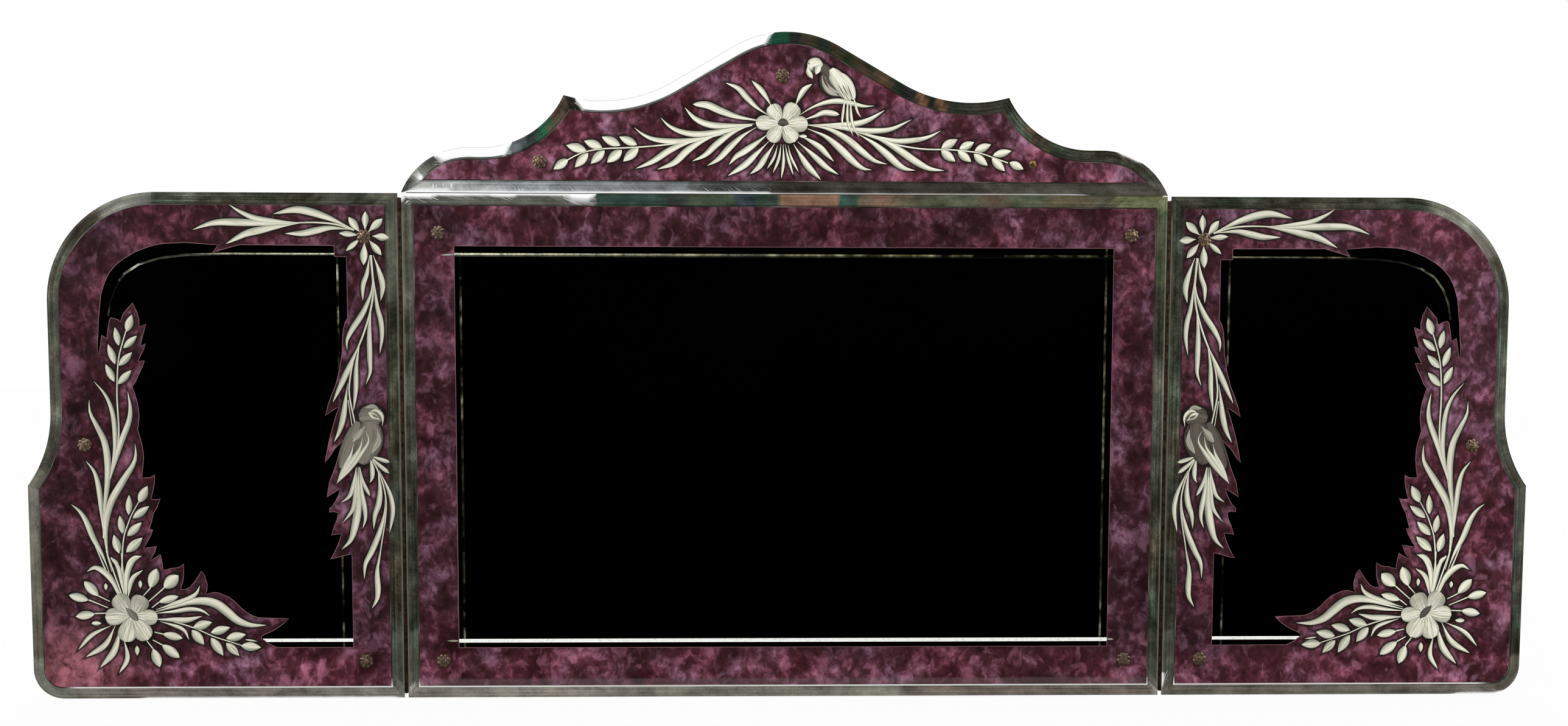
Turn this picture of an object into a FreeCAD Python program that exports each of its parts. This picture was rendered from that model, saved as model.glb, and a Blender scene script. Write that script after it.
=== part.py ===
import FreeCAD, Part
import math
import os

import Sketcher

# Folding triptych mirror that hangs on a wall: a centre panel with a shaped crest and two wings.
# Millimetres. The front faces -Y and +Z is up. Y = 0 is the wall, and the origin is midway
# between the two keyholes that it hangs by. Heights in the sheet are counted from the bottom
# edge of the glass.

sizeRows = [
    # overall glass outline
    ("centre_width", 771.0, "centre glass, edge to edge"),
    ("panel_height", 512.0, "centre and wing glass"),
    ("wing_width", 374.0, "wing glass, hinge edge to outermost edge"),
    ("join_gap", 4.0, "between centre glass and wing glass"),
    ("seam_gap", 0.8, "between centre glass and crest glass"),
    ("glass_thickness", 5.0, "float glass"),
    ("edge_thickness", 2.0, "what the bevel leaves at the edge"),
    ("bevel_width", 12.7, "half inch bevel"),
    ("felt_thickness", 1.0, "felt bed behind the silvering"),
    ("board_thickness", 12.0, "plywood backboard"),
    ("board_inset", 4.0, "board and felt stay inside the glass outline"),
    # crest outline
    ("crest_rise", 160.6, "crest glass, bottom edge to top"),
    ("crest_top_radius", 105.0, "round top"),
    ("crest_slope", 30.0, "degrees, the straight run below the top"),
    ("hollow_radius", 139.6, "hollow between the slope and the cusp"),
    ("hollow_rise", 91.6, "lowest place of the hollow above the crest's bottom edge"),
    ("crest_cusp_span", 446.0, "from cusp to cusp"),
    ("shoulder_rise", 44.9, "shoulder above the crest's bottom edge"),
    ("shoulder_reach", 67.5, "rounded end of the shoulder, along X"),
    ("shoulder_flat", 13.0, "level stretch of the shoulder"),
    # wing outline
    ("wing_corner_radius", 110.0, "upper outer corner"),
    ("wing_foot_radius", 30.0, "lower outer corner"),
    ("waist_inset", 24.8, "waist inside the outermost edge"),
    ("waist_height", 293.0, "where the waist starts to swing out"),
    ("cusp_height", 217.8, "cusp on the outer edge"),
    # screw places, from the nearest edges
    ("centre_screw_side", 37.0, "from the centre glass's side"),
    ("centre_screw_low", 38.5, "from the bottom edge"),
    ("centre_screw_high", 39.5, "from the top edge"),
    ("wing_screw_top_side", 33.0, "upper wing screw, from the hinge edge"),
    ("wing_screw_top_down", 43.5, "upper wing screw, from the top edge"),
    ("wing_screw_outer_side", 59.5, "outer wing screw, from the outermost edge"),
    ("wing_screw_outer_height", 259.5, "outer wing screw"),
    ("wing_screw_foot_side", 37.5, "lower wing screw, from the hinge edge"),
    ("wing_screw_foot_height", 38.5, "lower wing screw"),
    ("crest_screw_offset", 5.0, "top crest screw, left of the middle"),
    ("crest_screw_drop", 44.0, "top crest screw, below the top"),
    ("crest_screw_side", 138.5, "outer crest screws, from the crest's ends"),
    ("crest_screw_rise", 30.6, "outer crest screws, above the crest's bottom edge"),
    # glass screws, cup washers and rosettes
    ("shank_radius", 2.0, "wood screw"),
    ("glass_hole_radius", 3.0, "drilled through glass and felt"),
    ("screw_reach", 10.0, "how deep the screw goes into the board"),
    ("screw_tip", 3.0, "length of the point"),
    ("head_radius", 3.6, "round head"),
    ("head_height", 1.8, "round head"),
    ("slot_width", 0.9, "driver slot"),
    ("slot_depth", 0.9, "driver slot"),
    ("washer_radius", 4.6, "cup washer"),
    ("washer_thickness", 1.0, "cup washer"),
    ("rosette_radius", 7.35, "pressed brass rosette"),
    ("rosette_rim", 0.9, "thickness of the petals at the rim"),
    ("rosette_wall", 0.8, "brass over the screw head"),
    ("rosette_crown_radius", 5.6, "raised middle of the rosette"),
    ("petal_count", 8, "petals"),
    ("petal_notch_radius", 1.0, "notch between two petals"),
    ("snap_clearance", 0.05, "rosette over the cup washer"),
    ("head_clearance", 0.2, "rosette over the screw head"),
    ("pilot_clearance", 0.03, "screws in their pilot holes"),
    # continuous hinges
    ("knuckle_radius", 1.5, "hinge barrel"),
    ("knuckle_length", 12.9, "one knuckle"),
    ("knuckle_count", 39, "knuckles, both leaves together"),
    ("knuckle_clearance", 0.15, "between two knuckles, half on each"),
    ("pin_radius", 0.75, "hinge pin"),
    ("pin_clearance", 0.05, "pin in the moving knuckles"),
    ("leaf_thickness", 1.0, "hinge leaf"),
    ("leaf_gap", 0.4, "between the two leaves when flat"),
    ("leaf_back_inset", 0.5, "leaf in front of the wall"),
    ("leaf_screw_count", 6, "screws in each leaf"),
    ("leaf_screw_end", 25.0, "first leaf screw, from the leaf's end"),
    ("leaf_screw_radius", 1.2, "hinge screw"),
    ("leaf_head_radius", 2.2, "countersunk head of the hinge screw"),
    ("leaf_screw_length", 14.0, "hinge screw"),
    # hangers
    ("hanger_spacing", 406.4, "16 inches, from keyhole to keyhole"),
    ("hanger_drop", 72.0, "keyholes below the top edge of the centre glass"),
    ("hanger_plate_width", 18.0, "brass hanger plate"),
    ("hanger_plate_height", 46.0, "brass hanger plate"),
    ("hanger_plate_thickness", 1.5, "brass hanger plate"),
    ("keyhole_radius", 4.5, "round end of the keyhole"),
    ("keyhole_slot_radius", 2.25, "narrow end of the keyhole"),
    ("keyhole_rise", 9.0, "from the round end up to the narrow end"),
    ("hanger_pocket_depth", 8.0, "room for the wall screw's head"),
    ("hanger_pocket_margin", 1.0, "pocket wider than the keyhole"),
    ("plate_clearance", 0.1, "plate in its mortise"),
    ("plate_screw_inset", 5.0, "plate screws, from the plate's ends"),
    ("plate_screw_radius", 1.4, "plate screw"),
    ("plate_head_radius", 2.8, "countersunk head of the plate screw"),
    ("plate_screw_length", 10.0, "plate screw"),
    # glides under the centre board
    ("left_glide_side", 76.5, "left glide, from the left edge of the centre glass"),
    ("right_glide_side", 183.5, "right glide, from the right edge of the centre glass"),
    ("glide_radius", 5.8, "domed nail glide"),
    ("glide_proud", 1.4, "below the glass"),
    ("glide_flange", 1.2, "straight rim of the glide"),
    ("nail_radius", 1.0, "nail of the glide"),
    ("nail_length", 12.0, "nail of the glide"),
    ("overrun", 1.0, "cuts run past the face they leave"),
]

doc = FreeCAD.newDocument("triptych_mirror")
sheet = doc.addObject("Spreadsheet::Sheet", "sizes")
for row, (alias, number, note) in enumerate(sizeRows, start=1):
    sheet.set(f"A{row}", alias)
    sheet.set(f"B{row}", str(number))
    sheet.set(f"C{row}", note)
    sheet.setAlias(f"B{row}", alias)
doc.recompute()


def size(alias):
    return float(sheet.get(alias))


def vec(across, up, out=0.0):
    return FreeCAD.Vector(across, up, out)


# Heights and depths that several pieces share.

halfCentre = size("centre_width") / 2
wingInner = halfCentre + size("join_gap")
wingOuter = wingInner + size("wing_width")
axisX = halfCentre + size("join_gap") / 2
boardEdgeGap = size("leaf_gap") / 2 + size("leaf_thickness")
boardCentreEdge = axisX - boardEdgeGap
boardWingEdge = axisX + boardEdgeGap
crestBase = size("panel_height") + size("seam_gap")
crestTop = crestBase + size("crest_rise")
feltFace = "sizes.board_thickness"
glassBack = "(sizes.board_thickness + sizes.felt_thickness)"
glassEdge = f"({glassBack} + sizes.edge_thickness)"
glassFront = f"({glassBack} + sizes.glass_thickness)"
hangerHeight = size("panel_height") - size("hanger_drop")
dropToGlass = "sizes.hanger_drop - sizes.panel_height"


# Outlines. An outline is a list of corner points; where an arc leads to a point, the entry
# also holds a point on the middle of that arc. inset moves every edge inwards.


def arcMiddle(centre, start, end, radius):
    chord = (start + end) / 2 - centre
    return centre + chord.normalize() * radius


def circlesMeet(first, firstRadius, second, secondRadius, near):
    """Point where two circles cross, on the side of near."""
    line = second - first
    gap = line.Length
    along = (gap ** 2 + firstRadius ** 2 - secondRadius ** 2) / (2 * gap)
    line.normalize()
    across = FreeCAD.Vector(-line.y, line.x, 0) * math.sqrt(firstRadius ** 2 - along ** 2)
    base = first + line * along
    return min((base + across, base - across), key=lambda point: (point - near).Length)


def crestHalf(inset, bottom):
    """Right half of the crest, from its top down to the height called bottom."""
    slope = math.radians(size("crest_slope"))
    outward = vec(math.sin(slope), math.cos(slope))
    topRadius = size("crest_top_radius")
    hollowRadius = size("hollow_radius")
    topCentre = vec(0, crestTop - topRadius)
    hollowHeight = crestBase + size("hollow_rise") + hollowRadius
    rise = hollowHeight - topCentre.y - topRadius * outward.y
    hollowX = topRadius * outward.x + (hollowRadius - rise * outward.y) / outward.x
    hollowCentre = vec(hollowX, hollowHeight)
    cuspX = size("crest_cusp_span") / 2
    cuspDrop = math.sqrt(hollowRadius ** 2 - (cuspX - hollowX) ** 2)
    cusp = vec(cuspX, hollowHeight - cuspDrop)

    shoulder = crestBase + size("shoulder_rise")
    endX = halfCentre - size("shoulder_reach")
    sweepX = endX - size("shoulder_flat")
    sweepRise = cusp.y - shoulder
    sweepRadius = ((sweepX - cuspX) ** 2 + sweepRise ** 2) / (2 * sweepRise)
    sweepCentre = vec(sweepX, shoulder + sweepRadius)
    fall = size("shoulder_rise")
    endRadius = (size("shoulder_reach") ** 2 + fall ** 2) / (2 * fall)
    endCentre = vec(endX, shoulder - endRadius)

    top = vec(0, crestTop - inset)
    slopeTop = topCentre + outward * (topRadius - inset)
    slopeFoot = hollowCentre - outward * (hollowRadius + inset)
    insetCusp = circlesMeet(hollowCentre, hollowRadius + inset, sweepCentre, sweepRadius + inset, cusp)
    sweepEnd = vec(sweepX, shoulder - inset)
    roundStart = vec(endX, shoulder - inset)
    run = math.sqrt((endRadius - inset) ** 2 - (bottom - endCentre.y) ** 2)
    corner = vec(endX + run, bottom)
    return [
        (None, top),
        (arcMiddle(topCentre, top, slopeTop, topRadius - inset), slopeTop),
        (None, slopeFoot),
        (arcMiddle(hollowCentre, slopeFoot, insetCusp, hollowRadius + inset), insetCusp),
        (arcMiddle(sweepCentre, insetCusp, sweepEnd, sweepRadius + inset), sweepEnd),
        (None, roundStart),
        (arcMiddle(endCentre, roundStart, corner, endRadius - inset), corner),
    ]


def mirrored(half):
    """The half run backwards on the other side of X = 0."""
    back = []
    for number in range(len(half) - 1, 0, -1):
        middle = half[number][0]
        point = half[number - 1][1]
        flipped = vec(-middle.x, middle.y) if middle else None
        back.append((flipped, vec(-point.x, point.y)))
    return back


def crestOutline(inset, bottom):
    right = crestHalf(inset, bottom)
    lastCorner = right[-1][1]
    leftCorner = vec(-lastCorner.x, lastCorner.y)
    return right + [(None, leftCorner)] + mirrored(right)


def boardOutline(inset):
    """Centre board: the crest above, and straight sides where the hinges are screwed."""
    step = size("panel_height") - inset
    right = crestHalf(inset, step)
    below = [
        (None, vec(boardCentreEdge, step)),
        (None, vec(boardCentreEdge, inset)),
        (None, vec(-boardCentreEdge, inset)),
        (None, vec(-boardCentreEdge, step)),
        (None, vec(-right[-1][1].x, step)),
    ]
    return right + below + mirrored(right)


def panelOutline(inset):
    side = halfCentre - inset
    low = inset
    high = size("panel_height") - inset
    return [(None, vec(side, high)), (None, vec(side, low)), (None, vec(-side, low)),
            (None, vec(-side, high)), (None, vec(side, high))]


def wingOutline(inset, innerEdge, hand):
    """Wing seen from the front; hand is 1 for the right wing and -1 for the left."""
    waistX = wingOuter - size("waist_inset")
    waistZ = size("waist_height")
    swing = waistZ - size("cusp_height")
    waistRadius = (size("waist_inset") ** 2 + swing ** 2) / (2 * size("waist_inset"))
    waistCentre = vec(waistX + waistRadius, waistZ)
    cornerRadius = size("wing_corner_radius")
    footRadius = size("wing_foot_radius")
    high = size("panel_height") - inset
    side = wingOuter - inset
    cuspDrop = math.sqrt((waistRadius + inset) ** 2 - (side - waistCentre.x) ** 2)
    cusp = vec(side, waistZ - cuspDrop)
    waist = vec(waistX - inset, waistZ)
    footCentre = vec(wingOuter - footRadius, footRadius)
    cornerCentre = vec(waistX - cornerRadius, size("panel_height") - cornerRadius)
    footStart = vec(footCentre.x, inset)
    footEnd = vec(side, footCentre.y)
    cornerStart = vec(waist.x, cornerCentre.y)
    cornerEnd = vec(cornerCentre.x, high)
    points = [
        (None, vec(innerEdge, inset)),
        (None, footStart),
        (arcMiddle(footCentre, footStart, footEnd, footRadius - inset), footEnd),
        (None, cusp),
        (arcMiddle(waistCentre, cusp, waist, waistRadius + inset), waist),
        (None, cornerStart),
        (arcMiddle(cornerCentre, cornerStart, cornerEnd, cornerRadius - inset), cornerEnd),
        (None, vec(innerEdge, high)),
        (None, vec(innerEdge, inset)),
    ]
    return [(vec(hand * m.x, m.y) if m else None, vec(hand * p.x, p.y)) for m, p in points]


# Helpers for sketches and features.


def planeOf(body, role):
    return [item for item in body.Origin.OriginFeatures if item.Role == role][0]


def newBody(label, drop=True):
    body = doc.addObject("PartDesign::Body", label)
    body.Label = label
    if drop:
        body.setExpression("Placement.Base.z", dropToGlass)
    return body


def newSketch(body, name, role, depth=None):
    """Sketch on an origin plane; on XZ_Plane depth counts from the wall to the front."""
    sketch = body.newObject("Sketcher::SketchObject", name)
    sketch.AttachmentSupport = [(planeOf(body, role), "")]
    sketch.MapMode = "FlatFace"
    if depth:
        sketch.setExpression("AttachmentOffset.Base.z", depth)
    return sketch


def drawOutline(sketch, outline):
    start = outline[0][1]
    for middle, point in outline[1:]:
        if middle is None:
            sketch.addGeometry(Part.LineSegment(start, point), False)
        else:
            sketch.addGeometry(Part.Arc(start, middle, point), False)
        start = point


def drawCircles(sketch, places, radius):
    """Circles of one radius, which the first one takes from the sheet."""
    for number, place in enumerate(places):
        sketch.addGeometry(Part.Circle(place, vec(0, 0, 1), 1.0), False)
        if number == 0:
            sketch.addConstraint(Sketcher.Constraint("Radius", 0, 1.0))
            sketch.setExpression("Constraints[0]", radius)
        else:
            sketch.addConstraint(Sketcher.Constraint("Equal", 0, number))


def pad(body, name, sketch, length, reversedWay=False):
    feature = body.newObject("PartDesign::Pad", name)
    feature.Profile = sketch
    feature.Reversed = reversedWay
    feature.setExpression("Length", length)
    doc.recompute()
    return feature


def pocket(body, name, sketch, length, reversedWay=False):
    """A pocket of a set depth; it has to take material away."""
    doc.recompute()
    before = body.Shape.Volume
    feature = body.newObject("PartDesign::Pocket", name)
    feature.Profile = sketch
    feature.Reversed = reversedWay
    feature.setExpression("Length", length)
    doc.recompute()
    if body.Shape.Volume >= before:
        raise RuntimeError(f"{name} cuts nothing")
    return feature


def drillFront(body, name, places, radius, depthFrom, length):
    """Round holes along Y, from the plane at depthFrom back towards the wall."""
    sketch = newSketch(body, f"{name}_sketch", "XZ_Plane", depthFrom)
    drawCircles(sketch, places, radius)
    return pocket(body, name, sketch, length)


# Screw places in each panel, seen from the front.

centreScrews = [
    vec(hand * (halfCentre - size("centre_screw_side")), height)
    for height in (size("centre_screw_low"), size("panel_height") - size("centre_screw_high"))
    for hand in (-1, 1)
]
crestScrewTop = vec(-size("crest_screw_offset"), crestTop - size("crest_screw_drop"))
crestScrewLeft = vec(size("crest_screw_side") - halfCentre, crestBase + size("crest_screw_rise"))
crestScrewRight = vec(-crestScrewLeft.x, crestScrewLeft.y)
crestScrews = [crestScrewTop, crestScrewLeft, crestScrewRight]


def wingScrews(hand):
    return [
        vec(hand * (wingInner + size("wing_screw_top_side")),
            size("panel_height") - size("wing_screw_top_down")),
        vec(hand * (wingOuter - size("wing_screw_outer_side")), size("wing_screw_outer_height")),
        vec(hand * (wingInner + size("wing_screw_foot_side")), size("wing_screw_foot_height")),
    ]


# Glass, felt and boards.


def glassPanel(label, outer, inner, screws):
    """Slab of the edge's thickness with the bevel and the raised field lofted on it."""
    body = newBody(label)
    back = newSketch(body, f"{label}_back", "XZ_Plane", glassBack)
    drawOutline(back, outer)
    pad(body, f"{label}_slab", back, "sizes.edge_thickness")
    rim = newSketch(body, f"{label}_rim", "XZ_Plane", glassEdge)
    drawOutline(rim, outer)
    field = newSketch(body, f"{label}_field", "XZ_Plane", glassFront)
    drawOutline(field, inner)
    bevel = body.newObject("PartDesign::AdditiveLoft", f"{label}_bevel")
    bevel.Profile = rim
    bevel.Sections = [field]
    bevel.Ruled = True
    doc.recompute()
    drillFront(body, f"{label}_holes", screws, "sizes.glass_hole_radius",
               f"{glassFront} + sizes.overrun", "sizes.glass_thickness + 2 * sizes.overrun")
    return body


def feltSheet(label, outline, screws):
    body = newBody(label)
    sketch = newSketch(body, f"{label}_outline", "XZ_Plane", feltFace)
    drawOutline(sketch, outline)
    pad(body, f"{label}_sheet", sketch, "sizes.felt_thickness")
    drillFront(body, f"{label}_holes", screws, "sizes.glass_hole_radius",
               f"{glassBack} + sizes.overrun", "sizes.felt_thickness + 2 * sizes.overrun")
    return body


def backBoard(label, outline, screws):
    body = newBody(label)
    sketch = newSketch(body, f"{label}_outline", "XZ_Plane")
    drawOutline(sketch, outline)
    pad(body, f"{label}_sheet", sketch, "sizes.board_thickness")
    drillFront(body, f"{label}_pilots", screws, "sizes.shank_radius + sizes.pilot_clearance",
               "sizes.board_thickness", "sizes.screw_reach + sizes.pilot_clearance")
    return body


bevelWidth = size("bevel_width")
boardInset = size("board_inset")
nodes = {}
nodes["centre_glass"] = glassPanel("centre_glass", panelOutline(0), panelOutline(bevelWidth), centreScrews)
nodes["crest_glass"] = glassPanel("crest_glass", crestOutline(0, crestBase),
                                  crestOutline(bevelWidth, crestBase + bevelWidth), crestScrews)
nodes["centre_felt"] = feltSheet("centre_felt", panelOutline(boardInset), centreScrews)
nodes["crest_felt"] = feltSheet("crest_felt", crestOutline(boardInset, crestBase + boardInset), crestScrews)
nodes["centre_backboard"] = backBoard("centre_backboard", boardOutline(boardInset),
                                      centreScrews + crestScrews)
for side, hand in (("left", -1), ("right", 1)):
    screws = wingScrews(hand)
    nodes[f"{side}_wing_glass"] = glassPanel(
        f"{side}_wing_glass", wingOutline(0, wingInner, hand),
        wingOutline(bevelWidth, wingInner + bevelWidth, hand), screws)
    nodes[f"{side}_wing_felt"] = feltSheet(
        f"{side}_wing_felt", wingOutline(boardInset, wingInner + boardInset, hand), screws)
    nodes[f"{side}_wing_backboard"] = backBoard(
        f"{side}_wing_backboard", wingOutline(boardInset, boardWingEdge, hand), screws)


# Fasteners. Each kind is made once, standing on the XY plane, and linked into place.


def revolve(body, name, profile):
    """Full turn about Z of a profile in the XZ plane, given as an outline."""
    sketch = newSketch(body, f"{name}_profile", "XZ_Plane")
    drawOutline(sketch, profile)
    feature = body.newObject("PartDesign::Revolution", name)
    feature.Profile = sketch
    feature.ReferenceAxis = (sketch, ["V_Axis"])
    feature.Angle = 360.0
    doc.recompute()
    return feature


def domeMiddle(radius, rise, foot):
    """Middle point of a spherical cap that is radius wide and rise high, above foot."""
    sphere = (radius ** 2 + rise ** 2) / (2 * rise)
    centre = vec(0, foot + rise - sphere)
    return arcMiddle(centre, vec(radius, foot), vec(0, foot + rise), sphere)


def roundScrew():
    """Round-head wood screw: the seat of its head lies on Z = 0 and it points down."""
    body = newBody("glass_screw", drop=False)
    headRadius = size("head_radius")
    headHeight = size("head_height")
    shank = size("shank_radius")
    reach = (size("washer_thickness") + size("glass_thickness")
             + size("felt_thickness") + size("screw_reach"))
    revolve(body, "glass_screw_turned", [
        (None, vec(0, headHeight)),
        (domeMiddle(headRadius, headHeight, 0), vec(headRadius, 0)),
        (None, vec(shank, 0)),
        (None, vec(shank, size("screw_tip") - reach)),
        (None, vec(0, -reach)),
        (None, vec(0, headHeight)),
    ])
    slot = newSketch(body, "glass_screw_slot_sketch", "XY_Plane", "sizes.head_height + sizes.overrun")
    long, wide = headRadius + size("overrun"), size("slot_width") / 2
    drawOutline(slot, [(None, vec(long, wide)), (None, vec(-long, wide)), (None, vec(-long, -wide)),
                       (None, vec(long, -wide)), (None, vec(long, wide))])
    pocket(body, "glass_screw_slot", slot, "sizes.slot_depth + sizes.overrun")
    return body


def cupWasher():
    body = newBody("cup_washer", drop=False)
    bore = size("shank_radius") + size("pilot_clearance")
    outer = size("washer_radius")
    thick = size("washer_thickness")
    revolve(body, "cup_washer_turned", [
        (None, vec(bore, 0)), (None, vec(outer, 0)), (None, vec(outer, thick)),
        (None, vec(bore, thick)), (None, vec(bore, 0)),
    ])
    return body


def rosette():
    """Petalled cap that snaps over the cup washer and hides the screw head."""
    body = newBody("rosette", drop=False)
    room = size("washer_thickness") + size("head_height") + size("head_clearance")
    crown = size("rosette_crown_radius")
    rim = size("rosette_rim")
    top = room + size("rosette_wall")
    inside = size("washer_radius") + size("snap_clearance")
    revolve(body, "rosette_turned", [
        (None, vec(0, top)),
        (domeMiddle(crown, top - rim, rim), vec(crown, rim)),
        (None, vec(size("rosette_radius"), rim)),
        (None, vec(size("rosette_radius"), 0)),
        (None, vec(inside, 0)),
        (None, vec(inside, size("washer_thickness"))),
        (domeMiddle(inside, room - size("washer_thickness"), size("washer_thickness")), vec(0, room)),
        (None, vec(0, top)),
    ])
    notch = newSketch(body, "rosette_notch_sketch", "XY_Plane", "sizes.rosette_rim + sizes.overrun")
    drawCircles(notch, [vec(size("rosette_radius"), 0)], "sizes.petal_notch_radius")
    cut = pocket(body, "rosette_notch", notch, "sizes.rosette_rim + 2 * sizes.overrun")
    pattern = body.newObject("PartDesign::PolarPattern", "rosette_petals")
    pattern.Originals = [cut]
    pattern.Axis = (planeOf(body, "Z_Axis"), [""])
    pattern.Angle = 360.0
    pattern.setExpression("Occurrences", "sizes.petal_count")
    body.Tip = pattern
    doc.recompute()
    return body


def countersunkScrew(label, shank, head, sink, reach):
    """Flat-head wood screw: the top of its head lies on Z = 0 and it points down."""
    body = newBody(label, drop=False)
    revolve(body, f"{label}_turned", [
        (None, vec(0, 0)), (None, vec(head, 0)), (None, vec(shank, -sink)),
        (None, vec(shank, 2 * shank - reach)), (None, vec(0, -reach)), (None, vec(0, 0)),
    ])
    return body


def glide():
    """Domed nail glide: its flange lies on Z = 0, the nail points up and the dome down."""
    body = newBody("nail_glide", drop=False)
    flange = size("glide_flange")
    deep = size("board_inset") + size("glide_proud")
    radius = size("glide_radius")
    crown = domeMiddle(radius, deep - flange, flange)
    revolve(body, "nail_glide_turned", [
        (None, vec(0, -deep)),
        (vec(crown.x, -crown.y), vec(radius, -flange)),
        (None, vec(radius, 0)),
        (None, vec(size("nail_radius"), 0)),
        (None, vec(size("nail_radius"), size("nail_length") - 2 * size("nail_radius"))),
        (None, vec(0, size("nail_length"))),
        (None, vec(0, -deep)),
    ])
    return body


def placeCopies(label, master, places, turn):
    """One node with a linked copy of master at each place (X, depth from the wall, height)."""
    copies = []
    for number, (across, depth, up) in enumerate(places, start=1):
        copy = doc.addObject("App::Link", f"{label}_{number}")
        copy.LinkedObject = master
        copy.LinkPlacement = FreeCAD.Placement(FreeCAD.Vector(across, 0, up), turn)
        copy.setExpression("LinkPlacement.Base.y", f"-({depth})")
        copies.append(copy)
    group = doc.addObject("Part::Compound", label)
    group.Label = label
    group.Links = copies
    group.setExpression("Placement.Base.z", dropToGlass)
    nodes[label] = group


zAxis = FreeCAD.Vector(0, 0, 1)
toFront = FreeCAD.Rotation(zAxis, FreeCAD.Vector(0, -1, 0))
toBack = FreeCAD.Rotation(zAxis, FreeCAD.Vector(0, 1, 0))
upright = FreeCAD.Rotation()
screwMaster = roundScrew()
washerMaster = cupWasher()
rosetteMaster = rosette()
screwSeat = f"{glassFront} + sizes.washer_thickness"
panels = [
    ("centre", centreScrews, centreScrews),
    ("crest", crestScrews, [crestScrewTop, crestScrewLeft]),
    ("left_wing", wingScrews(-1), wingScrews(-1)),
    ("right_wing", wingScrews(1), wingScrews(1)),
]
for panel, screws, capped in panels:
    placeCopies(f"{panel}_screws", screwMaster, [(p.x, screwSeat, p.y) for p in screws], toFront)
    placeCopies(f"{panel}_cup_washers", washerMaster, [(p.x, glassFront, p.y) for p in screws], toFront)
    placeCopies(f"{panel}_rosettes", rosetteMaster, [(p.x, glassFront, p.y) for p in capped], toFront)


# Continuous hinges. Knuckles alternate along the barrel; the fixed leaf has the odd ones.

hingeLength = size("knuckle_length") * size("knuckle_count")
hingeFoot = (size("panel_height") - hingeLength) / 2
barrelY = -(size("board_thickness") + size("felt_thickness") + size("edge_thickness"))
screwStep = (hingeLength - 2 * size("leaf_screw_end")) / (size("leaf_screw_count") - 1)
leafScrewHeights = [
    hingeFoot + size("leaf_screw_end") + number * screwStep
    for number in range(int(size("leaf_screw_count")))
]
leafMiddleY = -(size("board_thickness") + size("leaf_back_inset")) / 2


def hingeLeaf(label, hand, way, firstKnuckle, boreClearance):
    """Leaf with its knuckles; way is the X direction from the gap to the board it is screwed to."""
    body = newBody(label)
    near = axisX * hand + way * size("leaf_gap") / 2
    far = near + way * size("leaf_thickness")
    front = -size("board_thickness")
    back = -size("leaf_back_inset")
    foot = f"{hingeFoot}"
    plate = newSketch(body, f"{label}_plate_sketch", "XY_Plane", foot)
    drawOutline(plate, [(None, vec(near, back)), (None, vec(far, back)), (None, vec(far, front)),
                        (None, vec(near, front)), (None, vec(near, back))])
    pad(body, f"{label}_plate", plate, "sizes.knuckle_length * sizes.knuckle_count")

    start = hingeFoot + firstKnuckle * size("knuckle_length") + size("knuckle_clearance") / 2
    centre = vec(axisX * hand, barrelY)
    radius = size("knuckle_radius")
    tabDepth = math.sqrt(radius ** 2 - (far - centre.x) ** 2)
    nearDepth = math.sqrt(radius ** 2 - (near - centre.x) ** 2)
    nearPoint = vec(near, barrelY + nearDepth)
    farPoint = vec(far, barrelY + tabDepth)
    around = vec(centre.x, barrelY - radius)
    knuckle = newSketch(body, f"{label}_knuckle_sketch", "XY_Plane", f"{start}")
    knuckle.addGeometry(Part.Arc(nearPoint, around, farPoint), False)
    knuckle.addGeometry(Part.LineSegment(farPoint, vec(far, front)), False)
    knuckle.addGeometry(Part.LineSegment(vec(far, front), vec(near, front)), False)
    knuckle.addGeometry(Part.LineSegment(vec(near, front), nearPoint), False)
    first = pad(body, f"{label}_knuckle", knuckle, "sizes.knuckle_length - sizes.knuckle_clearance")
    count = (int(size("knuckle_count")) + 1 - firstKnuckle) // 2
    row = body.newObject("PartDesign::LinearPattern", f"{label}_knuckles")
    row.Originals = [first]
    row.Direction = (planeOf(body, "Z_Axis"), [""])
    row.Length = 2 * size("knuckle_length") * (count - 1)
    row.Occurrences = count
    body.Tip = row
    doc.recompute()

    bore = newSketch(body, f"{label}_bore_sketch", "XY_Plane", f"{hingeFoot + hingeLength} + sizes.overrun")
    drawCircles(bore, [centre], f"sizes.pin_radius + {boreClearance}")
    pocket(body, f"{label}_bore", bore, "sizes.knuckle_length * sizes.knuckle_count + 2 * sizes.overrun")
    return body, near, far


def countersinks(label, leaf, near, way):
    """Countersunk holes across the leaf, cut by the shape of the screws that fill them."""
    cones = []
    for number, height in enumerate(leafScrewHeights, start=1):
        cone = doc.addObject("Part::Cone", f"{label}_sink_{number}")
        cone.setExpression("Radius1", "sizes.leaf_head_radius + sizes.pilot_clearance")
        cone.setExpression("Radius2", "sizes.leaf_screw_radius + sizes.pilot_clearance")
        cone.setExpression("Height", "sizes.leaf_thickness")
        turn = FreeCAD.Rotation(zAxis, FreeCAD.Vector(way, 0, 0))
        cone.Placement = FreeCAD.Placement(FreeCAD.Vector(near, leafMiddleY, height), turn)
        cone.setExpression("Placement.Base.z", f"{height} + {dropToGlass}")
        cones.append(cone)
    tool = doc.addObject("Part::Compound", f"{label}_sinks")
    tool.Links = cones
    cut = doc.addObject("Part::Cut", label)
    cut.Base = leaf
    cut.Tool = tool
    cut.Label = label
    nodes[label] = cut


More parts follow.
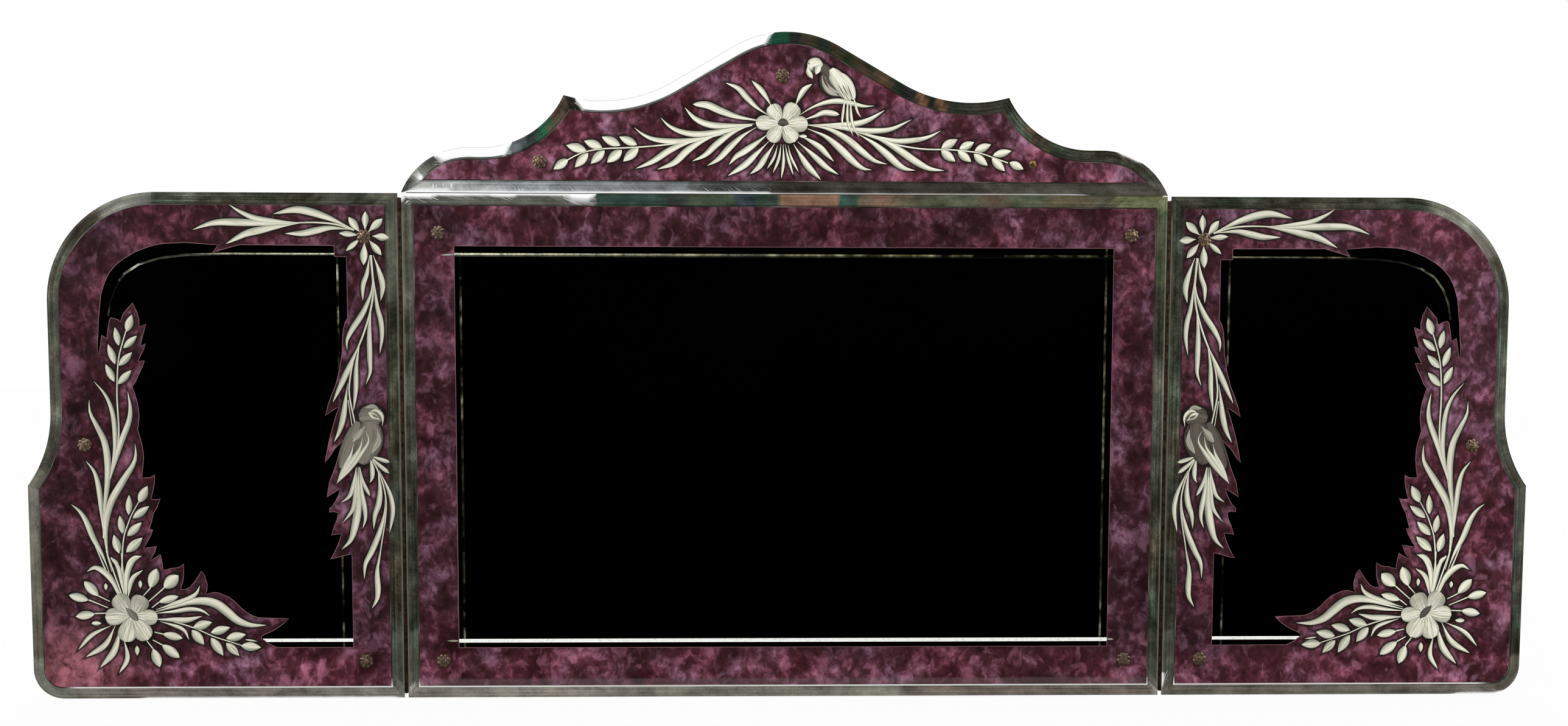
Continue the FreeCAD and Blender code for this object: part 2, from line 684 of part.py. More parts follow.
leafScrewMaster = countersunkScrew("leaf_screw", size("leaf_screw_radius"), size("leaf_head_radius"),
                                   size("leaf_thickness"), size("leaf_screw_length"))
for side, hand in (("left", -1), ("right", 1)):
    for part, way, firstKnuckle, clearance in (
            ("fixed", -hand, 0, "0"), ("moving", hand, 1, "sizes.pin_clearance")):
        label = f"{side}_hinge_{part}_leaf"
        leaf, near, far = hingeLeaf(f"{label}_blank", hand, way, firstKnuckle, clearance)
        countersinks(label, leaf, near, way)
        turn = FreeCAD.Rotation(zAxis, FreeCAD.Vector(-way, 0, 0))
        spots = [(near, str(-leafMiddleY), height) for height in leafScrewHeights]
        placeCopies(f"{side}_hinge_{part}_screws", leafScrewMaster, spots, turn)
        board = nodes["centre_backboard"] if part == "fixed" else nodes[f"{side}_wing_backboard"]
        pilots = newSketch(board, f"{label}_pilots_sketch", "YZ_Plane", f"{far}")
        drawCircles(pilots, [vec(leafMiddleY, height) for height in leafScrewHeights],
                    "sizes.leaf_screw_radius + sizes.pilot_clearance")
        pocket(board, f"{label}_pilots", pilots, "sizes.leaf_screw_length", reversedWay=way > 0)
    pin = doc.addObject("Part::Cylinder", f"{side}_hinge_pin")
    pin.Label = f"{side}_hinge_pin"
    pin.setExpression("Radius", "sizes.pin_radius")
    pin.setExpression("Height", "sizes.knuckle_length * sizes.knuckle_count")
    pin.Placement = FreeCAD.Placement(FreeCAD.Vector(hand * axisX, barrelY, 0), upright)
    pin.setExpression("Placement.Base.z", f"{hingeFoot} + {dropToGlass}")
    nodes[f"{side}_hinge_pin"] = pin


# Hanger plates, let in flush with the back of the centre board.

plateScrewMaster = countersunkScrew("plate_screw", size("plate_screw_radius"), size("plate_head_radius"),
                                    size("hanger_plate_thickness"), size("plate_screw_length"))
plateMiddle = hangerHeight + size("keyhole_rise") / 2
plateScrewHeights = [
    plateMiddle + way * (size("hanger_plate_height") / 2 - size("plate_screw_inset"))
    for way in (-1, 1)
]


def roundedSlot(sketch, across, low, high, radius):
    """Upright slot with round ends; low and high are the centres of the two ends."""
    left, right = across - radius, across + radius
    drawOutline(sketch, [
        (None, vec(left, low)),
        (vec(across, low - radius), vec(right, low)),
        (None, vec(right, high)),
        (vec(across, high + radius), vec(left, high)),
        (None, vec(left, low)),
    ])


def hangerPlate(label, across):
    body = newBody(label)
    plate = newSketch(body, f"{label}_outline", "XZ_Plane")
    half = size("hanger_plate_width") / 2
    roundedSlot(plate, across, plateMiddle - size("hanger_plate_height") / 2 + half,
                plateMiddle + size("hanger_plate_height") / 2 - half, half)
    pad(body, f"{label}_plate", plate, "sizes.hanger_plate_thickness")
    hole = newSketch(body, f"{label}_keyhole_sketch", "XZ_Plane",
                     "sizes.hanger_plate_thickness + sizes.overrun")
    radius = size("keyhole_radius")
    narrow = size("keyhole_slot_radius")
    low = hangerHeight
    high = low + size("keyhole_rise")
    shoulder = low + math.sqrt(radius ** 2 - narrow ** 2)
    drawOutline(hole, [
        (None, vec(across - narrow, shoulder)),
        (vec(across, low - radius), vec(across + narrow, shoulder)),
        (None, vec(across + narrow, high)),
        (vec(across, high + narrow), vec(across - narrow, high)),
        (None, vec(across - narrow, shoulder)),
    ])
    pocket(body, f"{label}_keyhole", hole, "sizes.hanger_plate_thickness + 2 * sizes.overrun")
    cones = []
    for number, height in enumerate(plateScrewHeights, start=1):
        cone = doc.addObject("Part::Cone", f"{label}_sink_{number}")
        cone.setExpression("Radius1", "sizes.plate_head_radius + sizes.pilot_clearance")
        cone.setExpression("Radius2", "sizes.plate_screw_radius + sizes.pilot_clearance")
        cone.setExpression("Height", "sizes.hanger_plate_thickness")
        cone.Placement = FreeCAD.Placement(FreeCAD.Vector(across, 0, height), toFront)
        cone.setExpression("Placement.Base.z", f"{height} + {dropToGlass}")
        cones.append(cone)
    tool = doc.addObject("Part::Compound", f"{label}_sinks")
    tool.Links = cones
    cut = doc.addObject("Part::Cut", label)
    cut.Base = body
    cut.Tool = tool
    return cut


centreBoard = nodes["centre_backboard"]
mortises = newSketch(centreBoard, "hanger_mortise_sketch", "XZ_Plane")
pockets = newSketch(centreBoard, "hanger_pocket_sketch", "XZ_Plane")
plateSpots = []
plateHalf = size("hanger_plate_width") / 2
mortiseLow = plateMiddle - size("hanger_plate_height") / 2 + plateHalf
mortiseHigh = plateMiddle + size("hanger_plate_height") / 2 - plateHalf
for side, hand in (("left", -1), ("right", 1)):
    across = hand * size("hanger_spacing") / 2
    label = f"{side}_hanger_plate"
    nodes[label] = hangerPlate(f"{label}_cut", across)
    nodes[label].Label = label
    roundedSlot(mortises, across, mortiseLow, mortiseHigh, plateHalf + size("plate_clearance"))
    roundedSlot(pockets, across, hangerHeight, hangerHeight + size("keyhole_rise"),
                size("keyhole_radius") + size("hanger_pocket_margin"))
    plateSpots += [vec(across, height) for height in plateScrewHeights]
pocket(centreBoard, "hanger_mortises", mortises, "sizes.hanger_plate_thickness", reversedWay=True)
pocket(centreBoard, "hanger_pockets", pockets, "sizes.hanger_pocket_depth", reversedWay=True)
plateHoles = newSketch(centreBoard, "plate_pilot_sketch", "XZ_Plane")
drawCircles(plateHoles, plateSpots, "sizes.plate_screw_radius + sizes.pilot_clearance")
pocket(centreBoard, "plate_pilots", plateHoles, "sizes.plate_screw_length", reversedWay=True)
placeCopies("hanger_screws", plateScrewMaster, [(p.x, "0", p.y) for p in plateSpots], toBack)

# Nail glides under the centre board.

glideMaster = glide()
glideSpots = [size("left_glide_side") - halfCentre, halfCentre - size("right_glide_side")]
glideMiddleY = -size("board_thickness") / 2
nailHoles = newSketch(centreBoard, "glide_nail_sketch", "XY_Plane", "sizes.board_inset")
drawCircles(nailHoles, [vec(across, glideMiddleY) for across in glideSpots],
            "sizes.nail_radius + sizes.pilot_clearance")
pocket(centreBoard, "glide_nail_holes", nailHoles, "sizes.nail_length", reversedWay=True)
for side, across in zip(("left", "right"), glideSpots):
    placeCopies(f"{side}_glide", glideMaster, [(across, str(-glideMiddleY), size("board_inset"))], upright)

doc.recompute()

# Every object must be sound before anything is written.

for item in doc.Objects:
    if "Invalid" in item.State or "Error" in item.State:
        raise RuntimeError(f"{item.Name} is {item.State}")
for label, item in nodes.items():
    if item.Shape.isNull() or not item.Shape.isValid():
        raise RuntimeError(f"{label} has no valid shape")

os.makedirs("parts", exist_ok=True)
for label, item in nodes.items():
    item.Shape.exportStep(f"parts/{label}.step")
    print(label, len(item.Shape.Solids), "solids", round(item.Shape.Volume), "mm3")
print(len(nodes), "nodes")
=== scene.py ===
import math

import bpy
import numpy as np
from mathutils import Matrix, Vector
from mathutils.geometry import delaunay_2d_cdt


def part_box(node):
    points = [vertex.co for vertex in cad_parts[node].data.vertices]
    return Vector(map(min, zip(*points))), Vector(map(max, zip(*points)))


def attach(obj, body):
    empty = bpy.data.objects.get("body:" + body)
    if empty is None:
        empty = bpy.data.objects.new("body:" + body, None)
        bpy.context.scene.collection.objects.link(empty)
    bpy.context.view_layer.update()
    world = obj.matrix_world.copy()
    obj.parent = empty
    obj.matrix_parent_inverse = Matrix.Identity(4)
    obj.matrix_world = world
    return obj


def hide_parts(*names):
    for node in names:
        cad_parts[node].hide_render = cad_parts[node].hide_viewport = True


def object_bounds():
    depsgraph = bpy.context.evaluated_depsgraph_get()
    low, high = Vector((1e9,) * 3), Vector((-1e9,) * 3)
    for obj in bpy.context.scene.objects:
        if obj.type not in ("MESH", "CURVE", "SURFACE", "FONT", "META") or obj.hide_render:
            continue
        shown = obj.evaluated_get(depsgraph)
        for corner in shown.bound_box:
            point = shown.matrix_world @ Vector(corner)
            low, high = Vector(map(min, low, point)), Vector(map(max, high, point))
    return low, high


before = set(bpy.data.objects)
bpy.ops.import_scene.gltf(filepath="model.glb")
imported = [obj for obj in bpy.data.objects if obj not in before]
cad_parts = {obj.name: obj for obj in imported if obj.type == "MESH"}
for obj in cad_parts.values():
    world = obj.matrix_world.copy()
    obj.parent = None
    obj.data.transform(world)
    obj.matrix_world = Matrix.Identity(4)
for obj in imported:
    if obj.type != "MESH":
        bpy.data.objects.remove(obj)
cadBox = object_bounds()
print("frame loaded")

# Shapes below are in millimetres, x across and z up from the bottom edge of the glass.
mm = 0.001
glassLow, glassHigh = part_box("centre_glass")
footZ, frontY, backY = glassLow.z, glassLow.y, glassHigh.y


def place(x, z, y):
    return Vector((x * mm, y, footZ + z * mm))


def added(name, data):
    made = bpy.data.objects.new(name, data)
    bpy.context.scene.collection.objects.link(made)
    return made


# Node helpers

class Wire:
    # one output of a node; arithmetic on wires adds Math nodes to their tree
    def __init__(self, socket):
        self.socket = socket
        self.tree = socket.id_data

    def __getitem__(self, name):
        return Wire(self.socket.node.outputs[name])

    def __add__(self, other):
        return maths("ADD", self, other)

    def __sub__(self, other):
        return maths("SUBTRACT", self, other)

    def __mul__(self, other):
        return maths("MULTIPLY", self, other)

    def __lt__(self, other):
        return maths("LESS_THAN", self, other)

    def __gt__(self, other):
        return maths("GREATER_THAN", self, other)

    def __abs__(self):
        return maths("ABSOLUTE", self)

    def most(self, other):
        return maths("MAXIMUM", self, other)

    def fade(self, low, high, toLow=0.0, toHigh=1.0):
        return node(self.tree, "ShaderNodeMapRange", {
            "Value": self, "From Min": low, "From Max": high, "To Min": toLow, "To Max": toHigh})

    def lit(self, reach):
        start, end, strength = reach
        return self.fade(start, end, 0.0, strength)


def join(value, socket):
    if isinstance(value, Wire):
        value.tree.links.new(value.socket, socket)
    else:
        socket.default_value = value


def node(tree, kind, sockets=None, **settings):
    made = tree.nodes.new(kind)
    for key, value in settings.items():
        setattr(made, key, value)
    for name, value in (sockets or {}).items():
        join(value, made.inputs[name])
    return Wire(made.outputs[0])


def treeOf(*values):
    return next(value.tree for value in values if isinstance(value, Wire))


def maths(operation, first, second=0.0):
    return node(treeOf(first, second), "ShaderNodeMath", {0: first, 1: second},
                operation=operation)


def vectorMaths(operation, first, second):
    amount = "Scale" if operation == "SCALE" else 1
    return node(first.tree, "ShaderNodeVectorMath", {0: first, amount: second},
                operation=operation)


def split(where):
    return node(where.tree, "ShaderNodeSeparateXYZ", {0: where})


def combine(x, y, z=0.0):
    return node(treeOf(x, y, z), "ShaderNodeCombineXYZ", {"X": x, "Y": y, "Z": z})


def tint(red, green, blue):
    # a colour given 0 to 255, as the shader wants it
    return tuple((c / 255) ** 2.2 for c in (red, green, blue)) + (1.0,)


def mix(factor, first, second, blend="MIX"):
    colours = [tint(*c) if isinstance(c, tuple) and len(c) == 3 else c for c in (first, second)]
    return node(treeOf(factor, *colours), "ShaderNodeMix", {
        0: factor, 6: colours[0], 7: colours[1]}, data_type="RGBA", blend_type=blend)[2]


def ramp(factor, *stops):
    # each stop is its place, then red, green and blue
    made = node(factor.tree, "ShaderNodeValToRGB", {"Fac": factor})
    band = made.socket.node.color_ramp
    while len(band.elements) < len(stops):
        band.elements.new(0.5)
    for element, (at, *colour) in zip(band.elements, stops):
        element.position = at
        element.color = colour if len(colour) == 4 else tint(*colour)
    return made


def noise(where, scale, detail=4.0, distortion=0.0, roughness=0.5):
    return node(where.tree, "ShaderNodeTexNoise", {
        "Vector": where, "Scale": scale, "Detail": detail, "Roughness": roughness,
        "Distortion": distortion})


def mapped(where, stretch, shift):
    return node(where.tree, "ShaderNodeMapping", {
        "Vector": where, "Scale": stretch, "Location": shift})


def objectSpot(tree):
    return node(tree, "ShaderNodeTexCoord")["Object"]


def onObject(tree, stretch=(1.0, 1.0, 1.0), shift=(0.0, 0.0, 0.0)):
    return mapped(objectSpot(tree), stretch, shift)


def alongEdge(tree, stretch=(1.0, 1.0, 1.0), shift=(0.0, 0.0, 0.0)):
    return mapped(node(tree, "ShaderNodeUVMap", uv_map="bevelRun"), stretch, shift)


def bump(height, distance, strength):
    return node(height.tree, "ShaderNodeBump", {
        "Height": height, "Distance": distance, "Strength": strength})


def attribute(tree, name):
    return node(tree, "ShaderNodeAttribute", attribute_name=name)["Fac"]


def newMaterial(name, preview):
    material = bpy.data.materials.new(name)
    material.use_nodes = True
    material.diffuse_color = tint(*preview)
    return material, material.node_tree


def dress(tree, values):
    for name, value in values.items():
        join(value, tree.nodes["Principled BSDF"].inputs[name])


# Camera, at the photograph's angle

cameraView = {"place": (-0.0435, -1.618, -0.038), "yaw": -1.476, "pitch": -4.311,
              "roll": 0.165, "lens": 36.34, "sensor": 36.0, "shift": 0.0388, "near": 0.05}


def makeCamera(view):
    data = bpy.data.cameras.new("camera")
    data.sensor_width = view["sensor"]
    data.lens = view["lens"]
    data.shift_y = view["shift"]
    data.clip_start = view["near"]
    turn = Matrix.Translation(view["place"])
    for angle, axis in ((view["yaw"], "Z"), (view["pitch"], "X"), (-view["roll"], "Y"), (90, "X")):
        turn = turn @ Matrix.Rotation(math.radians(angle), 4, axis)
    camera = added("camera", data)
    camera.matrix_world = turn
    bpy.context.scene.camera = camera


makeCamera(cameraView)

# Studio: white behind, a dark room in front that the mirrors look into, two soft lamps

studio = {
    "fill": 0.86, "darkFrom": 0.50, "darkTo": 0.78, "aim": (0.0, 0.0, -0.1),
    "lamps": [("key", (-1.9, -1.7, 1.5), 1.1, 16.0), ("side", (2.2, -1.5, 0.9), 0.9, 7.0)],
    "floorReach": 6.0, "floorGap": 0.0004, "floorWhite": 0.94, "darkInFront": -0.012,
    "darkSpread": 0.6, "darkEdge": (0.9, 1.4),
}
white = (1.0, 1.0, 1.0, 1.0)
black = (0.0, 0.0, 0.0, 1.0)


def rays(tree):
    path = node(tree, "ShaderNodeLightPath")
    return path["Is Camera Ray"], path["Is Glossy Ray"].most(path["Is Transmission Ray"])


def makeWorld(light):
    world = bpy.data.worlds.new("studio")
    bpy.context.scene.world = world
    world.use_nodes = True
    tree = world.node_tree
    seen, reflected = rays(tree)
    heading = node(tree, "ShaderNodeTexCoord")["Generated"]
    towardsViewer = vectorMaths("DOT_PRODUCT", heading, (0.0, -1.0, 0.0))["Value"]
    room = towardsViewer.fade(light["darkFrom"], light["darkTo"], 1.0, 0.0)
    level = mix(reflected, (light["fill"],) * 3 + (1.0,), room)
    level = mix(seen, level, white)
    join(level, tree.nodes["Background"].inputs["Color"])


def addLamp(name, spot, width, power):
    data = bpy.data.lights.new(name, "AREA")
    data.size = width
    data.energy = power
    aim = (Vector(studio["aim"]) - Vector(spot)).to_track_quat("-Z", "Y")
    added(name, data).matrix_world = Matrix.Translation(spot) @ aim.to_matrix().to_4x4()


def makeFloor(light):
    reach = light["floorReach"]
    level = cadBox[0].z - light["floorGap"]
    mesh = bpy.data.meshes.new("floor")
    corners = [(x * reach, y * reach, level) for x, y in ((-1, -1), (1, -1), (1, 1), (-1, 1))]
    mesh.from_pydata(corners, [], [(0, 1, 2, 3)])
    material, tree = newMaterial("pale_floor", (243, 243, 243))
    dress(tree, {"Roughness": 0.9, "Base Color": ramp(
        noise(onObject(tree), 3.0), (0.3, 0.86, 0.86, 0.86, 1.0), (0.7, 0.9, 0.9, 0.9, 1.0))})
    seen, reflected = rays(tree)
    share = seen.most(reflected) * light["floorWhite"] + reflected * (1.0 - light["floorWhite"])
    # the dark room's floor, in front of the mirrors, shows only in reflections
    where = split(objectSpot(tree))
    side = abs(where["X"]) - abs(where["Y"]) * light["darkSpread"]
    dark = (where["Y"] < light["darkInFront"]) * side.fade(*light["darkEdge"], 1.0, 0.0)
    tone = mix(dark * reflected, white, black)
    glow = node(tree, "ShaderNodeEmission", {"Color": tone, "Strength": 1.0})
    plain = Wire(tree.nodes["Principled BSDF"].outputs[0])
    both = node(tree, "ShaderNodeMixShader", {0: share, 1: plain, 2: glow})
    join(both, tree.nodes["Material Output"].inputs["Surface"])
    mesh.materials.append(material)
    added("floor", mesh)


makeWorld(studio)
for lamp in studio["lamps"]:
    addLamp(*lamp)
makeFloor(studio)
bpy.context.scene.view_settings.view_transform = "Standard"
print("camera and studio ready")

# Finishes. Colours are red, green and blue from 0 to 255; lengths in them are metres.
# Each painted light is where it starts, where it is full, and how much it adds to the colour's
# brightness.

plumLight = {"crest": (0.505, 0.53, 0.45), "foot": (0.055, 0.035, 0.45),
             "right": (0.42, 0.62, 0.4), "left": (-0.66, -0.71, -0.3), "leftAbove": (0.1, 0.2)}


def plumPaint():
    material, tree = newMaterial("plum_clouded", (80, 45, 55))
    clouds = noise(onObject(tree), 36.0, 5.0, 0.35, 0.6)
    puffs = noise(onObject(tree, (1.25, 1.0, 1.0), (3.1, 0.0, 0.7)), 88.0, 5.0, 0.6, 0.6)
    specks = noise(onObject(tree, shift=(0.9, 0.0, 1.4)), 420.0, 3.0)
    level = clouds * 0.56 + puffs * 0.38 + specks * 0.06
    colour = ramp(level, (0.37, 46, 18, 23), (0.45, 60, 28, 35), (0.51, 76, 39, 50),
                  (0.56, 104, 62, 78), (0.62, 138, 92, 112), (0.70, 164, 124, 140))
    # paler paint dabbed over the clouds, with crisper edges
    dabs = noise(onObject(tree, (1.0, 1.0, 0.75), (2.4, 0.0, 4.1)), 62.0, 6.0, 0.5, 0.62)
    colour = mix(dabs.fade(0.55, 0.64, 0.0, 0.45), colour, (134, 88, 108))
    colour = mix(dabs.fade(0.43, 0.36, 0.0, 0.2), colour, (48, 18, 24))
    # some clouds lean to wine red, others to grey mauve
    lean = noise(onObject(tree, shift=(0.4, 0.0, 2.2)), 21.0, 2.0, 0.4)
    cast = ramp(lean, (0.38, 255, 226, 231), (0.50, 250, 248, 249), (0.62, 238, 255, 255))
    colour = mix(1.0, colour, cast, "MULTIPLY")
    # the left wing's lower corner is rosier
    where = objectSpot(tree)
    away = vectorMaths("DISTANCE", where, place(-725, 30, frontY))["Value"]
    rosy = away.fade(0.01, 0.09, 0.5, 0.0) * level.fade(0.42, 0.56, 0.1, 1.0)
    colour = mix(rosy, colour, (172, 104, 112))
    # painted light: the crest, the lower border and the right side are painted lighter, the far
    # left darker
    parts = split(where)
    height = parts["Z"] - footZ
    light = height.lit(plumLight["crest"]).most(height.lit(plumLight["foot"]))
    light = light + parts["X"].lit(plumLight["right"])
    light = light + parts["X"].lit(plumLight["left"]) * height.fade(*plumLight["leftAbove"])
    colour = vectorMaths("SCALE", colour, light + 1.0)
    # the plum turns greyer along the centre's lower edge
    greyLowEdge = height.fade(0.0185, 0.0205, 0.3, 0.0) * (abs(parts["X"]) < 0.373)
    colour = mix(greyLowEdge, colour, (112, 100, 100))
    # painted shadow: beside the cuts the paint is painted darker, as if in their shadow
    shade = attribute(tree, "shade")
    paintedCutShadow = ramp(shade, (0.25, 58, 36, 38), (0.85, 31, 28, 23))
    dress(tree, {"Base Color": mix(shade * 0.88, colour, paintedCutShadow), "Roughness": 0.32,
                 "Coat Weight": 0.5, "Coat Roughness": 0.04})
    return material


def bevelGlass():
    # silvered slope painted with reflections: dim bands of the room are painted across it, grinding
    # streaks run along it
    material, tree = newMaterial("bevel_glass", (95, 95, 85))
    run = split(alongEdge(tree))
    across = run["Y"]
    bands = noise(alongEdge(tree, (26.0, 0.7, 1.0)), 1.0, 3.0)
    stripes = noise(alongEdge(tree, (3.0, 6.0, 1.0), (3.0, 1.0, 0.0)), 1.0, 3.0, 0.0, 0.6)
    streaks = noise(alongEdge(tree, (10.0, 9.0, 1.0)), 1.0, 4.0, 0.0, 0.65)
    smears = noise(onObject(tree), 95.0, 5.0, 0.3, 0.6)
    grit = noise(onObject(tree), 900.0, 3.0)
    level = bands * 0.30 + stripes * 0.24 + streaks * 0.12 + smears * 0.18 + grit * 0.16
    colour = ramp(level, (0.38, 30, 30, 26), (0.45, 52, 52, 45), (0.50, 72, 73, 64),
                  (0.55, 96, 98, 88), (0.63, 148, 150, 140))
    hues = noise(alongEdge(tree, (13.0, 0.4, 1.0), (7.0, 3.0, 0.0)), 1.0, 2.0)
    cast = ramp(hues, (0.36, 220, 255, 240), (0.46, 243, 250, 240), (0.56, 255, 249, 238),
                (0.66, 255, 226, 202))
    colour = mix(0.8, colour, cast, "MULTIPLY")
    # painted reflections: what one stretch reflects, as coloured blocks named beside each panel
    paintedReflection = attribute(tree, "paintedReflection")
    held = mix(1.0, paintedReflection["Color"], level.fade(0.41, 0.59, 0.45, 1.6), "MULTIPLY")
    colour = mix(paintedReflection["Alpha"], colour, held)
    # painted highlight: a pale outer rim where a joint catches the light; painted shade: a darker
    # inner rim everywhere
    glint = attribute(tree, "glint")
    colour = mix(glint * across.fade(0.06, 0.17, 0.7, 0.0), colour, (158, 160, 144))
    colour = mix(across.fade(0.86, 0.97, 0.0, 0.45), colour, (34, 33, 29))
    # painted reflections: bright white stretches start at the outer rim and reach inwards with
    # their strength
    shine = attribute(tree, "shine")
    soft = shine.fade(0.05, 0.4, 0.05, 0.3)
    reach = shine * bands.fade(0.3, 0.7, 0.85, 1.35) - across
    glow = reach.fade(soft * -1.0, soft) * shine.fade(0.0, 0.12)
    # painted glints: fine scratches catch the light in the weaker ones
    scratches = noise(combine((run["X"] + across * 0.021) * 800.0, across), 1.0, 2.0)
    partly = shine.fade(0.06, 0.16) * shine.fade(0.9, 0.7)
    glow = glow.most(partly * scratches.fade(0.57, 0.68, 0.0, 0.85))
    glow = glow.most(glint * across.fade(0.93, 0.97))
    colour = mix(glow, colour, (255, 255, 255))
    # where a stretch is painted fully white, its inner edge is painted dark and its outer edge grey
    full = shine.fade(0.75, 0.95)
    colour = mix(full * across.fade(0.80, 0.87, 0.0, 0.9), colour, (58, 64, 60))
    colour = mix(full * across.fade(0.05, 0.07, 0.35, 0.0), colour, (120, 124, 122))
    dress(tree, {"Base Color": colour, "Metallic": glow.fade(0.0, 1.0, 0.35, 0.0),
                 "Roughness": streaks.fade(0.3, 0.7, 0.06, 0.16)})
    return material


def arrisGlass():
    material, tree = newMaterial("bevel_arris", (90, 88, 80))
    # the narrow arris facet is painted with dim reflected bands, and painted white where it glints
    bands = noise(alongEdge(tree, (22.0, 0.3, 1.0)), 1.0, 4.0)
    colour = ramp(bands, (0.38, 38, 36, 31), (0.55, 74, 72, 63), (0.7, 128, 126, 114))
    dress(tree, {"Base Color": mix(attribute(tree, "glint"), colour, (240, 244, 236)),
                 "Roughness": bands.fade(0.3, 0.7, 0.15, 0.3), "Metallic": 0.2})
    return material


fieldLines = {"upper": 450.8, "lower": 59.2}


def cutGlass():
    # the wheel-cut line in the mirror field: painted white where it catches the light
    material, tree = newMaterial("wheel_cut_line", (200, 205, 195))
    where = onObject(tree)
    grain = noise(where, 420.0, 4.0, 0.4)
    dashes = noise(where, 24.0, 5.0, 0.0, 0.65)
    gold = ramp(noise(where, 90.0, 5.0), (0.36, 40, 40, 26), (0.48, 104, 100, 70),
                (0.58, 168, 166, 132), (0.70, 224, 226, 204))
    bright = ramp(grain, (0.3, 226, 231, 222), (0.5, 250, 252, 248))
    # painted light: shine 1 is painted all white, 0 patchy gold, -0.5 all but black
    shine = attribute(tree, "shine")
    faint = shine.fade(0.5, 0.0) * dashes.fade(0.62, 0.42, 0.45, 1.0)
    gold = mix(faint.most(shine.fade(0.0, -0.5, 0.0, 0.96)), gold, (5, 7, 6))
    patchy = shine * grain.fade(0.35, 0.65, 0.5, 1.6)
    share = node(tree, "ShaderNodeClamp", {0: mix(shine.fade(0.8, 0.95), patchy, shine)})
    colour = mix(share, gold, bright)
    # painted shade: the lower side of the upper line is painted dark as if it lies in the dark; the
    # upper line is tinted warmer
    rise = split(where)["Z"] - (footZ + fieldLines["upper"] * mm)
    upper = rise > -0.01
    colour = mix(upper * 0.8, colour, (236, 236, 204), "MULTIPLY")
    colour = mix(rise.fade(-0.0004, 0.0002, 0.9, 0.0) * upper, colour, (14, 17, 18))
    dress(tree, {"Base Color": colour, "Roughness": 0.3, "Specular IOR Level": 0.1})
    return material


engravingLight = {"crest": (0.505, 0.53, 0.26), "rightFoot": (0.11, 0.07, 0.24),
                  "left": (-0.38, -0.385, -0.12), "leftAbove": (0.13, 0.19),
                  "leftBelow": (0.45, 0.41)}


def engravedGlass():
    # tone 0 is the white cut, 1 the dark ground of the birds, -1 the thin outline
    material, tree = newMaterial("engraved_white", (226, 225, 212))
    across, along, tone, streaky, seed = [
        attribute(tree, name) for name in ("across", "along", "tone", "streak", "seed")]
    side = across * (attribute(tree, "halfWidth") * 1000.0)
    brushed = noise(combine(along * 45.0, side * 1.7, seed), 1.0, 4.0, 0.0, 0.6)
    rubbed = noise(combine(along * 55.0, side * 0.25, seed), 1.0, 2.0)
    worn = ramp(brushed, (0.34, 128, 126, 114), (0.46, 196, 196, 182), (0.58, 244, 244, 235))
    calm = ramp(brushed, (0.32, 196, 197, 183), (0.5, 224, 225, 213), (0.66, 243, 243, 235))
    colour = mix(streaky.most(rubbed.fade(0.54, 0.66, 0.0, 0.8)), calm, worn)
    # painted shade: the far side of each cut is painted a grey green shade, the near side a dark
    # rim
    far = across.fade(0.0, 0.9, 0.0, 0.82) * streaky.fade(0.0, 1.0, 1.0, 0.4)
    colour = mix(far, colour, (98, 114, 97))
    colour = mix(across.fade(-0.6, -1.0, 0.0, 0.6), colour, (88, 84, 74))
    dark = ramp(brushed, (0.32, 52, 44, 39), (0.5, 76, 68, 61), (0.66, 104, 96, 86))
    # painted light on the birds' dark ground: paler down the middle of each pad, darker at its rims
    dark = mix(abs(across).fade(0.1, 0.8, 0.3, 0.0), dark, (128, 118, 104))
    dark = mix(abs(across).fade(0.6, 1.0, 0.0, 0.6), dark, (40, 33, 29))
    # painted light: the crest and the right wing's flower are painted lighter, the left wing's
    # middle darker
    where = objectSpot(tree)
    parts = split(where)
    height = parts["Z"] - footZ
    away = vectorMaths("DISTANCE", where, place(690, 86, frontY))["Value"]
    left = parts["X"].lit(engravingLight["left"])
    for reach in ("leftAbove", "leftBelow"):
        left = left * height.fade(*engravingLight[reach])
    light = height.lit(engravingLight["crest"]) + away.lit(engravingLight["rightFoot"]) + left
    colour = vectorMaths("SCALE", colour, light + 1.0)
    colour = mix(1.0, colour, (255, 250, 240), "MULTIPLY")
    colour = vectorMaths("MINIMUM", colour, (0.96, 0.96, 0.94))
    colour = mix(tone.fade(0.0, 1.0), colour, dark)
    colour = mix(tone.fade(0.0, -1.0), colour, (128, 92, 98))
    dress(tree, {"Base Color": colour, "Roughness": 0.42, "Normal": bump(brushed, 0.0003, 0.3)})
    return material


def grainy(name, preview, grain, stops, values, gloss=None, relief=None):
    # one noise drives the colour and, where they are given, the gloss and the relief
    material, tree = newMaterial(name, preview)
    level = noise(onObject(tree), *grain)
    dress(tree, {"Base Color": ramp(level, *stops), **values})
    if gloss:
        dress(tree, {"Roughness": level.fade(0.3, 0.7, *gloss)})
    if relief:
        dress(tree, {"Normal": bump(level, *relief)})
    return material


def agedBrass(name, light, deep, scale):
    material = grainy(name, light, (scale, 5.0), [(0.35, *deep), (0.62, *light)],
                      {"Metallic": 0.75}, (0.42, 0.26))
    scratches = noise(onObject(material.node_tree, (1.0, 1.0, 0.15)), scale * 4, 3.0)
    dress(material.node_tree, {"Normal": bump(scratches, 0.0001, 0.4)})
    return material


